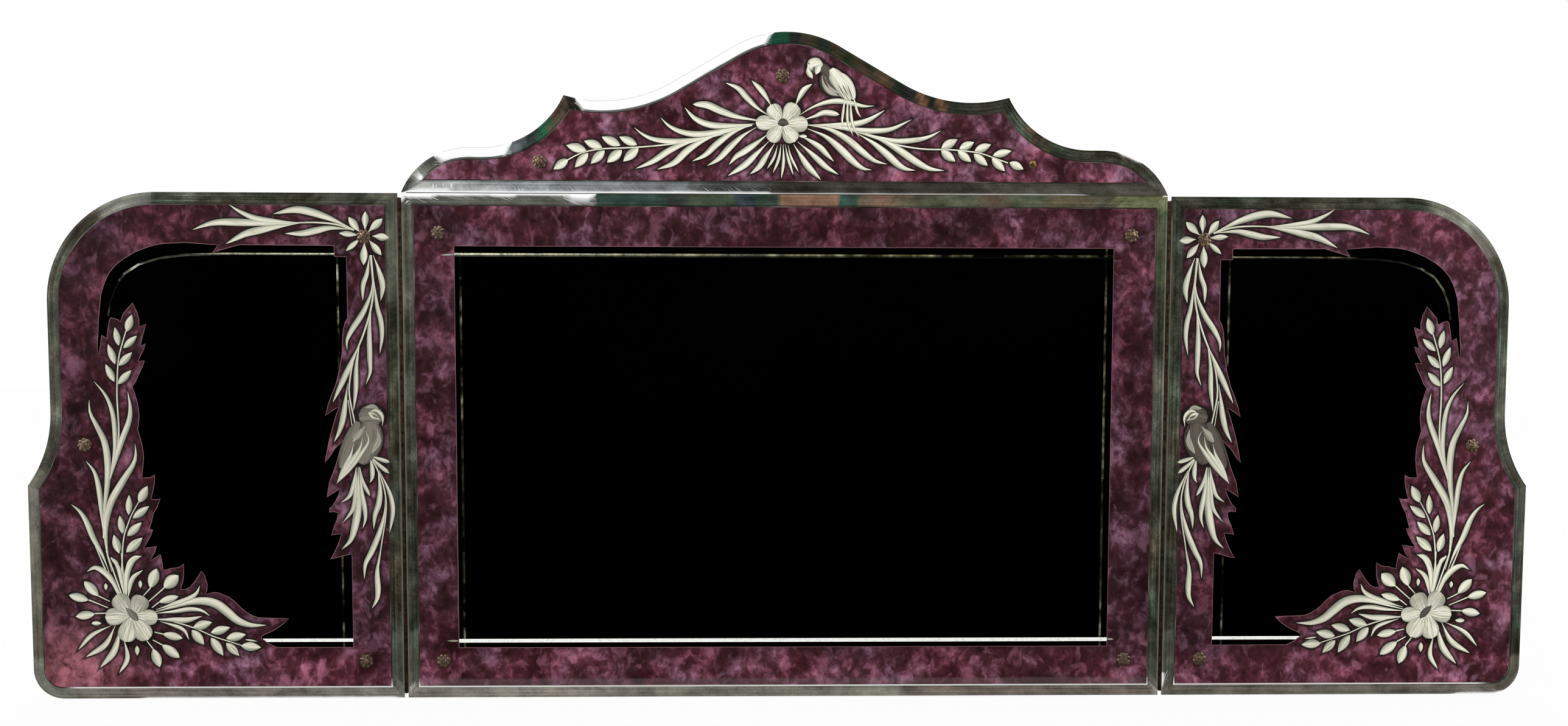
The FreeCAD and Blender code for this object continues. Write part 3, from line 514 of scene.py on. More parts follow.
def plywoodBoard():
    material, tree = newMaterial("plywood", (158, 118, 78))
    facing = split(node(tree, "ShaderNodeNewGeometry")["True Normal"])["Y"]
    grain = noise(onObject(tree, (1.0, 1.0, 17.0)), 7.0, 6.0, 1.4, 0.6)
    pores = noise(onObject(tree, (3.0, 3.0, 90.0)), 12.0, 3.0)
    face = ramp(grain, (0.30, 142, 103, 65), (0.5, 163, 122, 80), (0.70, 181, 141, 97))
    face = mix(pores.fade(0.55, 0.7, 0.0, 0.4), face, (96, 64, 40))
    # the plies show on the edges
    depth = split(objectSpot(tree))["Y"]
    edge = ramp(maths("PINGPONG", depth * 420.0, 1.0), (0.42, 112, 78, 48), (0.58, 176, 138, 96))
    dress(tree, {"Base Color": mix(abs(facing) > 0.6, edge, face), "Roughness": 0.62,
                 "Normal": bump(grain, 0.0003, 0.3)})
    return material


plum = plumPaint()
mirror = grainy("mirror_glass", (30, 32, 32), (6.0, 3.0), [
    (0.35, 0.80, 0.82, 0.80, 1.0), (0.7, 0.86, 0.88, 0.86, 1.0)], {"Metallic": 1.0}, (0.01, 0.03))
bevel = bevelGlass()
arris = arrisGlass()
cutLine = cutGlass()
edgeGlass = grainy("glass_edge", (120, 150, 135), (160.0, 4.0), [
    (0.35, 70, 92, 80), (0.6, 122, 150, 134), (0.75, 205, 215, 205)], {"Roughness": 0.25})
backing = grainy("silver_backing", (70, 62, 58), (35.0, 5.0), [
    (0.4, 62, 55, 52), (0.7, 92, 84, 78)], {"Roughness": 0.7})
engraving = engravedGlass()
rosetteBrass = agedBrass("rosette_brass", (170, 146, 122), (78, 64, 53), 420.0)
print("finishes ready")

# Engraving, traced in millimetres. A leaf is its width, then x and z of each point
# from its base to its tip. Grains, pods and petals are tip x, tip z, base x, base z, width;
# broad petals end with how far their root fades.

wingCuts = {
    "stems": [
        (2.2, 432, 475, 450, 480.5, 470, 482.3, 492, 481.8),
        (2.4, 416, 450, 414.5, 430, 414, 415, 417, 395, 425, 370, 435, 345, 439.5, 320, 439, 305,
         433, 274), (1.2, 441, 305, 439, 290, 436.5, 271),
        (1.8, 418, 245, 413, 235, 408, 222, 404.7, 204, 405.5, 185, 410, 158, 413, 137),
        (2.0, 674, 250, 671, 262, 670, 278, 670.8, 310, 669, 340, 666, 355, 660, 374),
        (1.7, 671, 130, 670.5, 140, 669.5, 155, 667.5, 168, 664, 178, 660, 188, 652.5, 201.5),
        (2.6, 688, 165, 687, 190, 684.5, 208, 680.5, 225, 676, 240, 671, 256),
        (1.7, 635, 82, 622, 80, 600, 73, 590, 68.5, 580, 64, 565, 59, 553, 55),
        (2.0, 667.5, 101, 669.5, 125, 671, 150), (2.0, 670, 102, 679, 130, 686, 152),
        (2.0, 673, 103, 686, 130, 697, 158),
    ],
    "leaves": [
        (8, 432, 475.5, 460, 488, 487, 494.8, 511.7, 490.6),
        (5.5, 486, 482, 510, 483.6, 530, 486.5, 545, 493, 555, 499.5),
        (7.5, 486, 481.8, 510, 481.2, 550, 482.2, 567, 482, 580, 479, 591.7, 474.4),
        (7.5, 486, 481.5, 510, 477.7, 525, 474.5, 540, 470.5, 559.3, 460.7),
        (7, 436, 475.5, 455, 477, 470, 474.2, 483, 471.5, 500.5, 471.2),
        (6, 413.5, 450, 408.5, 436, 404.7, 420, 406.7, 404.5),
        (5, 417, 450, 420, 432, 424, 420, 424.6, 404.7),
        (5.2, 413.5, 428, 410.5, 400, 407, 385, 406, 370, 408.5, 351.3),
        (6, 414.5, 425, 417, 410, 425, 392, 435, 377, 440.9, 365, 441, 355.3),
        (5.5, 416, 405, 418.5, 375, 418.5, 345, 418.5, 333, 422.9, 320.5),
        (6, 427, 365, 436, 345, 445, 326, 456.2, 302.6),
        (5, 428, 365, 432, 340, 433, 316, 435.7, 294),
        (6, 441, 322, 443.5, 305, 446, 288, 450, 274, 455.7, 262.5),
        (5, 420, 248.3, 418, 235, 418.3, 226, 420.8, 221.2),
        (5, 411, 234, 402.5, 215, 399, 203, 398.2, 190, 401.5, 170.4),
        (6, 412.5, 236, 410.5, 215, 412, 200, 416, 188, 417.6, 173.6),
        (6, 405.5, 205, 406.5, 190, 412, 170, 420, 151, 426.5, 138, 427.8, 122.7),
        (6, 412, 150, 414.7, 130, 414.2, 112, 415.5, 102, 420.7, 92.6),
        (5.2, 431, 237, 429, 212, 426, 194, 425.8, 184, 428.7, 174.5),
        (8, 432, 237, 432.5, 215, 433, 195, 437, 174, 441.5, 162, 449.8, 153.4),
        (4.5, 433.5, 237, 435, 215, 438, 195, 448.4, 180.4),
        (4.5, 434, 237, 437, 220, 441, 208, 449.6, 201),
        (6, 684, 212, 677, 235, 668, 262, 659.5, 284, 658, 298, 660.2, 313.4),
        (5, 684, 212, 677, 240, 674, 262, 675.5, 290, 682, 309, 693.7, 323.8),
        (7, 688.5, 165, 686.5, 195, 683, 220, 682, 242, 684.5, 262, 691.5, 278, 698, 292, 698.6,
         305),
        (7.5, 681, 131, 685, 150, 686, 175, 680.5, 200, 668, 222, 656.5, 240, 653.8, 250, 654.3,
         260.7), (5.5, 688, 165, 689.5, 190, 691.5, 215, 695.5, 232, 703.6, 243.4),
        (6, 683.5, 130, 690, 148, 698.5, 165, 705.5, 183, 712, 193, 719.6, 199.4),
        (5, 668, 130, 664, 139, 658, 145, 650.7, 146.5), (4.5, 675, 130, 676, 139, 682.1, 145.4),
        (6, 667, 102, 666, 128, 660, 141, 651, 147), (5, 666, 102, 661, 123, 650, 132.5),
        (5, 668.5, 102, 673.5, 132, 681, 146), (6.5, 671, 103, 684, 126, 697, 135, 706, 131),
        (4.5, 683, 76, 703, 66, 717, 51), (6, 679, 76, 690, 56, 709.5, 43.5),
        (7, 674, 74.5, 681, 50, 695.5, 32.5), (5, 671, 62, 668, 42, 676.5, 27),
        (4, 634, 80, 612, 72, 605.5, 61),
        (9.5, 640, 89.5, 622, 94.3, 605, 99.3, 590, 100.8, 577, 97.5, 566, 89, 556, 80.5, 543, 75.8,
         527.4, 75.8), (5.5, 638, 92, 622, 97, 606, 102.5, 597, 108.5, 593.3, 116.5),
        (4.8, 640, 88, 620, 90, 604, 92.3, 592, 90.8, 584, 85.4),
        (6, 640, 82, 622, 81.5, 607, 81.3, 592, 85),
    ],
    "blunts": [
        (4.5, 420, 248.7, 410, 245, 400.3, 242), (4.5, 419, 248, 412, 240, 401, 230.8),
        (4, 430.5, 237, 427.5, 222, 420.7, 207.8),
    ],
    "grains": [
        (653.8, 390, 659.5, 373, 8.5), (649.5, 369, 663, 356.5, 7), (654.7, 352.5, 668, 339, 7.5),
        (656, 334.5, 669.5, 320.5, 7.5), (671, 377.5, 667.5, 359, 7),
        (678.3, 360.5, 671.5, 340.5, 7.5), (681.3, 340.5, 673, 323, 7.5), (643, 218, 652, 201, 9.5),
        (642, 197.5, 658.5, 185, 8), (650, 181, 664.5, 167, 8.5), (649.5, 165.5, 666, 150.5, 9.5),
        (661.5, 209, 662.5, 188.5, 7), (671.5, 188, 669, 169.5, 7.5), (678, 168.5, 673, 149.5, 8.5),
        (533.3, 53, 553.5, 54.5, 9.5), (548.3, 66.3, 568, 62, 9.5), (564, 73.5, 583.5, 68, 9),
        (582, 79, 601, 73.5, 9.5), (555.5, 44.5, 568.5, 57.5, 8.5), (571.5, 44.7, 583.5, 63, 9.5),
        (590.5, 56, 602.5, 71, 9.5), (537, 59.2, 549, 61, 2), (653, 114, 653, 122, 4),
        (687.5, 112, 687.5, 119, 4), (693, 78, 703, 78, 5), (658, 45, 658, 55, 5),
    ],
    "pods": [
        (614.5, 127, 629.5, 114, 13), (636, 134, 643, 114, 11.5), (615, 105.5, 635, 99.5, 8),
        (709, 121, 695, 106, 10), (724.5, 107, 705, 102, 9), (718.5, 85, 699, 88, 9),
        (612, 62.5, 632, 67, 8.5), (615.5, 42.5, 633, 56, 10), (635.5, 33, 642, 52, 10),
    ],
    "podStems": [
        (1.6, 629.5, 114, 649, 97), (1.6, 643, 114, 650, 106.5), (1.6, 635, 99.5, 642, 94),
        (1.6, 695, 106, 684, 100.5), (1.6, 705, 102, 686, 94), (1.6, 699, 88, 688, 88.5),
        (1.6, 632, 67, 640, 69), (1.6, 633, 56, 642, 61), (1.6, 642, 52, 648, 60),
    ],
    "petals": [
        (420.5, 493.5, 421, 474.5, 7), (437.2, 487.8, 426, 472.5, 8), (447, 471.8, 427, 470, 6),
        (440.3, 454.2, 425.5, 467, 5.5), (423.2, 440, 422, 463, 8), (405.2, 450, 417.5, 465, 7),
        (397.6, 467.4, 414, 469, 8), (403.5, 486.4, 418, 473, 8),
    ],
    "broad": [
        (689, 84, 664, 86, 18, 0.05), (636, 83, 661, 86.5, 16, 0.05),
        (650, 106, 660.5, 87, 19, 0.42), (677.5, 107, 664, 87, 19, 0.34),
        (669.5, 59, 663, 85, 19, 0.0), (646.5, 61, 661, 85.5, 19, 0.0),
    ],
    "darkPads": [
        (15, 431, 283, 438, 266, 444, 250, 449, 236), (29, 419, 285, 421, 264, 430, 241),
        (23, 406.8, 287, 418, 288.8, 430, 287),
    ],
    "greys": [
        (8, 424, 279, 430, 272, 438, 262), (7, 412, 276, 411, 264, 418, 251),
        (5, 409.5, 293, 415, 298.3, 424, 297),
    ],
    "overlay": [
        (5, 424, 274, 421, 264, 428, 252, 440, 236, 452, 222),
        (6, 427, 268, 430, 256, 441, 240, 453.8, 220.4),
        (5, 436, 261, 439, 250, 445, 238, 453, 222),
        (4.2, 407, 279, 406.2, 287, 409, 292.5, 414, 295, 419, 293),
        (7, 409, 285, 414.5, 288.8, 420.8, 292.5),
    ],
    "slits": [
        (2.2, 411, 287, 418.5, 291),
    ],
    "centres": [
        (7, 655, 80, 662, 88, 668, 94),
    ],
}

crestCuts = {
    "stems": [
        (2.0, -35, 581, -60, 574, -95, 565, -125, 560.5, -155, 558, -185, 556.5, -205, 552.5, -219,
         545.4),
        (2.0, 40, 580, 70, 574.5, 90, 568, 105, 563, 135, 558, 165, 557.3, 192, 554.5, 205, 550.5,
         222, 544.5),
    ],
    "leaves": [
        (5.5, -60, 572, -90, 566.5, -112, 564.3, -132, 566, -144, 571, -152.6, 577.8),
        (6, -35, 582, -60, 576, -85, 571.7, -103, 573, -117, 579, -126.4, 587.7),
        (6.5, -33, 582, -60, 580, -78, 581, -92, 587, -102.3, 597.8),
        (6, -18, 590, -30, 598, -40, 607.5, -49, 617, -61.4, 622.3),
        (5.5, -15.5, 599, -20, 607, -26.5, 616, -35.5, 624.7),
        (6.5, -80, 567, -100, 563, -118, 555, -134, 544.5, -151.4, 537),
        (7, -66, 572.5, -85, 564.7, -100, 555, -113, 543, -129.8, 536.4),
        (6.5, -36, 581, -55, 573, -70, 562, -82, 551, -94.9, 544.6),
        (6.5, -31, 578.5, -44, 570.5, -57, 559, -68, 547.5, -79.9, 540.2),
        (6.5, -18, 573, -30, 563.5, -43, 554.5, -51, 549.5, -58.1, 541.4),
        (6.5, -18.5, 564.5, -30, 553, -42, 541.5, -58.9, 530.5),
        (6, -12.5, 562.5, -21, 550, -28, 539.5, -37, 532.2),
        (2.8, -9.5, 561, -13, 549, -19.9, 537.5), (3, -6, 562, -8.5, 547, -14, 533.5),
        (3.2, -4, 562, -3.5, 545, -5.7, 528), (3, -2, 562, 1, 548, 6.3, 531.6),
        (2.8, 1, 561, 4, 549, 11.7, 534.3), (6.5, 6.5, 562, 13.5, 551, 21.5, 539.5, 34, 526.9),
        (6, 10.5, 564.5, 22, 555, 33, 545, 40, 539, 51.6, 532.2),
        (6, 12, 571, 22, 566, 33, 559, 40, 552, 46.9, 545.1),
        (7.5, 20.5, 577.5, 38, 570, 52, 559, 66, 545.5, 76, 538.5, 85, 537),
        (7, 21, 581, 42, 577, 60, 567.5, 76, 554.5, 88, 546, 100.5, 542.7),
        (7.5, 70, 573, 85, 564.5, 99, 553.5, 112, 542, 120, 538, 128.6, 536.8),
        (7.5, 74, 574.5, 95, 566.5, 112, 557, 130, 545, 143, 538.5, 157.9, 536.5),
        (5.5, 70, 576, 90, 569.5, 110, 565.7, 130, 567, 143, 570.3, 154.2, 576.3),
        (5.8, 21, 581, 45, 580, 68, 576.5, 88, 575.7, 105, 577.7, 124.7, 587.2),
        (6, 21, 581.3, 50, 581.3, 68, 582.5, 82, 586.7, 97.6, 596.2),
        (5.5, 11.5, 590.5, 25, 598.5, 40, 603.8, 55, 604.7, 76, 600.2, 87.3, 600.5),
        (6, 8, 600, 12.5, 609, 17.5, 616.5, 24.8, 621.7),
    ],
    "blunts": [
        (7.5, -30, 585.5, -50, 589, -66, 594.5, -80, 600.3, -94, 601),
        (6, 19, 587, 28, 590, 38, 593.5, 52.3, 591.6),
    ],
    "grains": [
        (-233, 536, -218.5, 546, 9), (-220.2, 559.8, -200.4, 555, 9.5),
        (-202.5, 564.2, -184.6, 558, 9), (-185, 568.4, -166.4, 560, 9),
        (-167.5, 568.5, -149.8, 560.7, 8.5), (-211.8, 538, -198.6, 552.3, 9),
        (-195.9, 541.8, -182.2, 555, 9), (-179.8, 543, -165, 555.5, 10),
        (-163.7, 544.1, -148.4, 557.5, 9.5), (170.8, 567.7, 154.9, 558.7, 9),
        (187.7, 565, 173, 558, 8.5), (204.8, 562.8, 188.4, 556.2, 8.5),
        (225.5, 556.6, 206.8, 551.8, 8), (237.8, 538.4, 223.7, 545, 8.5),
        (168.9, 545.8, 154.6, 556.4, 9), (185, 545.4, 171.4, 556, 8.5),
        (201.6, 541.8, 187.5, 553.2, 8.5), (219, 536.5, 205.7, 549.1, 8.5), (12, 570, 20, 570, 4),
    ],
    "broad": [
        (-31.5, 583, -6, 583, 15, 0.1), (21, 581.8, -2.5, 582.5, 16, 0.14),
        (-17, 600.7, -6, 584, 15.5, 0.08), (9.5, 601.5, -3.5, 584, 17.5, 0.16),
        (-17.3, 564.4, -6, 581.5, 15, 0.12), (7.8, 564.3, -3.5, 581.5, 16.5, 0.1),
    ],
    "darkPads": [
        (11, 31, 641, 37, 636, 43, 628), (15, 35, 631, 42, 619, 55, 611),
    ],
    "greys": [
        (5, 34.5, 630, 36.5, 621, 43, 613.5, 52, 610.3),
        (4, 38, 629, 40.5, 621, 46, 615.5, 54, 612),
    ],
    "whitePads": [
        (14.5, 21, 637.5, 27, 640.5, 35, 640), (17, 43.5, 636.5, 49, 628, 58, 614, 62, 608),
        (12, 53, 632, 60, 621, 66.5, 607),
    ],
    "overlay": [
        (5.5, 20.5, 640, 20.8, 634, 25.4, 626.8), (7.5, 35.5, 641, 31, 638, 28.5, 631),
        (3.6, 48, 625, 54, 614, 61, 604), (3.6, 52, 624, 59, 613, 64, 604),
        (3.4, 57, 626, 63, 615, 67.5, 604), (2.6, 58, 612, 56, 595, 55, 585, 56, 578),
        (3.0, 61, 612, 60, 590, 62, 580, 66, 570.8), (3.0, 63, 612, 64, 590, 67, 578, 72, 569.5),
        (2.6, 65.5, 612, 70, 595, 74, 589),
    ],
    "slits": [
        (2.2, 27, 639, 25.2, 631), (1.0, 50.5, 621, 58, 609), (1.0, 55, 621, 61.5, 609),
        (0.9, 60, 621, 65.5, 608), (1.3, 20.6, 641.5, 22.4, 641.8),
    ],
    "centres": [
        (8, -9.5, 582, -4, 583.5, 1.8, 582),
    ],
}


def paired(*numbers):
    return list(zip(numbers[::2], numbers[1::2]))


# Edge between mirror and plum on a wing, x and z by turns, from its upper inner corner
# downwards and round
wingBorder = paired(
    452, 459.5, 452, 448.5, 440, 448.5, 440, 387, 442.5, 383, 444.5, 375, 445.5, 365, 446, 352, 449,
    335, 453, 320, 458, 308, 461, 300, 463.8, 289.2, 456, 295, 450, 298.3, 453, 290, 456, 280, 459,
    270, 461, 262, 463.5, 250, 465.3, 242, 461, 247, 455, 256, 449, 262, 444.8, 266.7, 449, 257,
    452, 247, 454, 240, 457, 232, 461, 222, 464, 206.5, 459, 210, 454, 213, 450.3, 215.2, 452, 209,
    455, 203, 458, 198, 461.5, 195, 461.4, 191.3, 457, 192, 452.8, 190.5, 454, 184, 457, 177, 460,
    167.8, 455, 169, 450, 169.3, 452, 162, 455, 155, 458, 149, 461.4, 143.5, 455, 145, 448, 147,
    439.8, 148.8, 439.8, 52.8, 517, 52.8, 521, 54.5, 526, 57, 530, 60.5, 532.5, 62, 532.7, 64, 529,
    66.5, 523, 69, 516, 73, 510, 77.5, 505, 82.5, 515, 82.7, 525, 83, 535, 83.5, 541, 85.5, 547, 89,
    553, 94, 558, 99.5, 564, 104.5, 570, 107, 575, 109, 580, 109.5, 589, 107.2, 586.5, 111, 586,
    118, 588.5, 127, 591.6, 131.2, 594, 127, 598, 121, 603, 115, 608, 112.5, 613, 112.7, 611, 118,
    609.5, 125, 609, 138.4, 614, 135, 622, 134, 629.5, 132, 630.5, 140, 632, 148.4, 638, 144.5,
    642.8, 141.8, 638, 150, 635.5, 156.8, 642, 155.5, 648.9, 154.7, 645, 161, 641, 168, 639, 173.4,
    642.3, 174.4, 640, 182, 638, 190, 634, 197, 630.7, 205, 635, 204, 640, 204.7, 638, 212, 636,
    222, 635.6, 229.3, 640, 226.5, 648.5, 226.2, 648, 232, 647, 238, 646.3, 246, 646.5, 253, 647.5,
    260, 649.5, 268, 651.4, 275, 650.5, 280, 649.5, 288, 650, 296, 651, 303, 653, 310, 655.6, 318.3,
    652, 323, 649, 330, 645, 338, 642.6, 344, 649.3, 343.5, 646, 350, 643, 356, 641.3, 361.1, 646.2,
    358.6, 645, 365, 642, 375, 640.4, 380.6, 647.2, 377.8, 647, 385, 649, 393, 653, 401.7, 658, 396,
    663, 390, 665.2, 383, 668, 385, 674.3, 387, 676, 385, 678, 375, 679.4, 366, 680.5, 367, 684.4,
    369.5, 686, 358, 688.9, 347, 689, 360, 688, 370, 687, 385, 684, 410, 680, 422, 675, 432, 668,
    440, 660, 446, 650, 452, 640, 456, 630, 459.3, 620, 461, 600, 462, 585, 461, 567, 459.5, 570,
    455, 572.5, 451.8, 560, 456, 546, 460)

# Cut lines in the mirror field: middle line of each, its width and its painted light (how white it
# is painted)

def uprightLine(x, heights, width, *shine):
    return {"path": [(x, z) for z in heights], "width": width, "upright": True, "shine": shine}


wingLines = [
    {"path": [(439.8, 60.2), (531, 60.2)], "width": 3.4, "shine": [(439, 1.0), (531, 1.0)]},
    uprightLine(449.4, (53, 130, 190, 330, 400, 459), 2.0,
                (53, 0.02), (130, -0.1), (190, -0.5), (330, -0.5), (400, -0.15)),
    {"path": [(440.2, 450.8), (560, 450.8), (600, 449.5), (625, 446.5), (645, 440.5),
              (660, 431), (669, 419), (675, 404), (677.5, 388)], "width": 2.2,
     "shine": [(440, 0.12), (500, 0.05), (600, -0.08), (645, -0.1), (665, -0.3), (676, -0.5)],
     "leftShine": [(440, 0.6), (520, 0.45), (600, 0.3), (645, 0.35), (665, 0.0), (676, -0.5)]},
]
centreLines = [
    {"path": [(-345, fieldLines["lower"]), (338, fieldLines["lower"])], "width": 3.8,
     "shine": [(-345, 1.0), (338, 1.0)]},
    {"path": [(x, fieldLines["upper"]) for x in (-332.6, -250, -130, 20, 150, 330.5)],
     "width": 3.4, "shine": [(-332, 0.72), (-300, 0.48), (-200, 0.25), (-60, 0.1), (60, 0.0),
                             (330, -0.12)]},
    uprightLine(-327, (52.4, 140, 250, 330, 459), 2.2,
                (52.4, -0.15), (140, -0.5), (250, -0.5), (330, -0.15), (459, 0.0)),
    uprightLine(323.5, (52.4, 140, 250, 330, 459), 2.2,
                (52.4, -0.3), (140, -0.5), (250, -0.4), (330, -0.1), (459, 0.0)),
]


def smoothLine(points, count):
    # Catmull-Rom through the traced points, evenly spread
    ends = [2 * points[0] - points[1]] + list(points) + [2 * points[-1] - points[-2]]
    fine = []
    for number in range(1, len(ends) - 2):
        a, b, c, d = ends[number - 1:number + 3]
        for t in np.linspace(0, 1, 12, endpoint=False):
            fine.append(0.5 * (2 * b + (c - a) * t + (2 * a - 5 * b + 4 * c - d) * t * t
                               + (3 * b - a - 3 * c + d) * t ** 3))
    fine = np.array(fine + [points[-1]])
    reach = np.concatenate([[0], np.cumsum(np.linalg.norm(np.diff(fine, axis=0), axis=1))])
    at = np.linspace(0, reach[-1], count)
    return np.column_stack([np.interp(at, reach, fine[:, k]) for k in (0, 1)]), at


# How a form swells: its share at the base, where it is widest, and the curve's power
swelling = {"leaf": (0.07, 0.58, 1.6), "blunt": (0.2, 0.7, 1.5), "petal": (0.3, 0.66, 1.3)}
# How blunt ends close and how seeds bulge: the bend and the power
closing = {"blunt": (2.4, 0.6), "petal": (2.2, 0.5)}
bulging = {"grain": (0.9, 0.85), "pod": (1.05, 0.7)}


def widthAlong(form, t):
    if form in swelling:
        base, peak, power = swelling[form]
        grow = base + (1 - base) * np.sin(np.pi / 2 * np.clip(t / peak, 0, 1)) ** power
        past = np.clip((t - peak) / (1 - peak), 0, 1)
        if form == "leaf":
            return grow * np.cos(np.pi / 2 * past) ** 0.85
        bend, power = closing[form]
        return grow * (1 - past ** bend) ** power
    if form in bulging:
        bend, power = bulging[form]
        return np.sin(np.pi * np.clip(t, 0, 1) ** bend) ** power
    if form == "pad":
        return np.sin(np.pi * (0.03 + 0.94 * t)) ** 0.5
    return 1.0 - 0.35 * t


leafShape = {"ridge": 0.3, "sink": 0.05, "profilePoints": 12, "tallest": 0.7, "thinnest": 0.05,
             "pointStep": 2.6, "fewestPoints": 9, "petalPoints": 18, "mostPoints": 26,
             "seedStep": 3.7, "slopeShare": 0.6}


# halo says whether a cut casts a painted shadow on the paint beside it, tail how far that shadow
# runs past its tip
def cutStroke(form, width, path, tone=0.0, lift=0.0, halo=True, streak=0.0):
    points = np.array(path, float).reshape(-1, 2)
    length = np.linalg.norm(np.diff(points, axis=0), axis=1).sum()
    fewest = leafShape["petalPoints" if form == "petal" else "fewestPoints"]
    count = int(np.clip(length / leafShape["pointStep"], fewest, leafShape["mostPoints"]))
    line, along = smoothLine(points, count)
    half = width / 2 * widthAlong(form, np.linspace(0, 1, count))
    return {"line": line, "along": along, "half": np.maximum(half, leafShape["thinnest"]),
            "tone": tone, "lift": lift, "halo": halo, "streak": streak,
            "rise": min(1.0, leafShape["tallest"] / (width / 2 * leafShape["ridge"])),
            "tail": 0.0 if form == "petal" else 1.0}


petalFan = {"strokes": 3, "strokeWidth": 2.6, "startReach": 0.12, "startSpread": 0.2,
            "endReach": 0.62, "endSpread": 0.5, "lift": 0.35, "streak": 0.6, "fadeFrom": 0.15,
            "fadeOver": 0.5}


def fanStrokes(tip, foot, width, fade, lift):
    # a petal is one rounded pad, with bright strokes spreading from its foot
    tip, foot = np.array(tip, float), np.array(foot, float)
    reach = tip - foot
    side = np.array([-reach[1], reach[0]]) / np.linalg.norm(reach)
    made = [cutStroke("petal", width, [foot, (foot + tip) / 2, tip], 0.0, lift,
                      streak=petalFan["streak"])]
    for turn in np.linspace(-0.5, 0.5, petalFan["strokes"]):
        start, end = [
            foot + reach * petalFan[point + "Reach"]
            + side * turn * width * petalFan[point + "Spread"] for point in ("start", "end")]
        made.append(cutStroke("grain", petalFan["strokeWidth"], [start, end], 0.0,
                              lift + petalFan["lift"]))
    for stroke in made:
        share = np.linspace(0, 1, len(stroke["line"]))
        stroke["tone"] = fade * np.clip((share - petalFan["fadeFrom"]) / petalFan["fadeOver"], 0, 1)
    return made


# Each group of cuts: its form, tone and lift, whether it casts a painted shadow on the paint, how
# streaky it is
longGroups = {
    "stems": ("stem", 0.0, 0.0, True, 0.0), "leaves": ("leaf", 0.0, 0.05, True, 0.0),
    "blunts": ("blunt", 0.0, 0.05, True, 0.0), "podStems": ("stem", 0.0, 0.0, True, 0.0),
    "darkPads": ("pad", 1.0, 0.1, True, 0.7), "greys": ("leaf", 0.5, 0.45, False, 0.9),
    "whitePads": ("pad", 0.0, 0.35, True, 0.5), "overlay": ("leaf", 0.0, 0.75, False, 0.0),
    "slits": ("grain", 1.0, 1.25, False, 0.0), "centres": ("grain", 1.0, 0.95, False, 0.0),
}
shortGroups = {"grains": ("grain", 0.1), "pods": ("pod", 0.1), "petals": ("leaf", 0.15)}
overlap = {"short": 0.06, "broad": 0.1, "broadLift": 0.3}


def strokesOf(cuts):
    # every cut of one panel, the later ones lying over the earlier
    made = []
    for group, (form, *look) in longGroups.items():
        made += [cutStroke(form, width, path, *look) for width, *path in cuts.get(group, [])]
    for group, (form, lift) in shortGroups.items():
        for number, (tipX, tipZ, baseX, baseZ, width) in enumerate(cuts.get(group, [])):
            step = lift + overlap["short"] * (number % 3)
            made.append(cutStroke(form, width, (baseX, baseZ, tipX, tipZ), 0.0, step))
    for number, (tipX, tipZ, lowX, lowZ, width, fade) in enumerate(cuts["broad"]):
        step = overlap["broadLift"] + overlap["broad"] * (number % 3)
        made += fanStrokes((tipX, tipZ), (lowX, lowZ), width, fade, step)
    return made


def mirroredStrokes(strokes, ground=0.84):
    # the left bird's dark ground is a little paler than the right one's
    return [dict(stroke, line=stroke["line"] * np.array([-1.0, 1.0]),
                 tone=stroke["tone"] * (ground if np.min(stroke["tone"]) > 0.8 else 1.0))
            for stroke in strokes]


borderCut = {"half": 0.3, "tone": -1.0, "rise": 0.5}


def borderStroke(points):
    # the thin cut between mirror and plum
    line = np.array(list(points) + [points[0]], float)
    steps = np.linalg.norm(np.diff(line, axis=0), axis=1)
    return dict(borderCut, line=line, along=np.concatenate([[0], np.cumsum(steps)]),
                half=np.full(len(line), borderCut["half"]), lift=0.0, halo=False, streak=0.0,
                tail=0.0)


rightStrokes = strokesOf(wingCuts)
leftStrokes = mirroredStrokes(rightStrokes)
crestStrokes = strokesOf(crestCuts)
upper, lower = fieldLines["upper"], fieldLines["lower"]
lineEnds = [(-332.5, upper, -339, upper, -346.5, upper - 0.4),
            (-332.5, lower, -338, lower, -345, lower), (330.5, lower, 338, lower)]
wedges = [cutStroke("grain", 2.0, path, 0.5, halo=False) for path in lineEnds]

# the painted shadow beside the cuts, and the grid of points it fades over
cutShadowShape = {"soft": 2.6, "beyond": 8.0, "margin": 6.0, "core": 0.6, "tip": 0.75}
cutShadowSeeds = {"step": 1.7, "rowShare": 0.866, "soft": 5.2, "beyond": 9.5, "edge": 1.0, "clear": 0.8}


def shadeAt(points, strokes, soft=cutShadowShape["soft"], beyond=cutShadowShape["beyond"]):
    # the painted shadow of the cuts: 1 beside a cut, 0 a few millimetres away; it runs out to a
    # point past each tip
    shade = np.zeros(len(points))
    for stroke in strokes:
        if not stroke["halo"]:
            continue
        line, half = stroke["line"], stroke["half"]
        heading = line[-1] - line[-3]
        heading = heading / max(np.linalg.norm(heading), 1e-6)
        line = np.vstack([line, line[-1] + heading * (beyond * stroke["tail"] + 0.01)])
        half = np.append(half, -soft * cutShadowShape["tip"])
        margin = cutShadowShape["margin"] + half.max()
        inBox = ((points > line.min(0) - margin) & (points < line.max(0) + margin)).all(1)
        near = np.where(inBox)[0]
        if not len(near):
            continue
        spots = points[near]
        gap = np.full(len(near), 1e3)
        for a, b, ra, rb in zip(line[:-1], line[1:], half[:-1], half[1:]):
            away, t = distanceTo(spots, a, b)
            gap = np.minimum(gap, away - (ra + (rb - ra) * t))
        level = np.clip((soft - gap) / (cutShadowShape["core"] * soft), 0, 1)
        shade[near] = np.maximum(shade[near], level * level * (3 - 2 * level))
    return shade


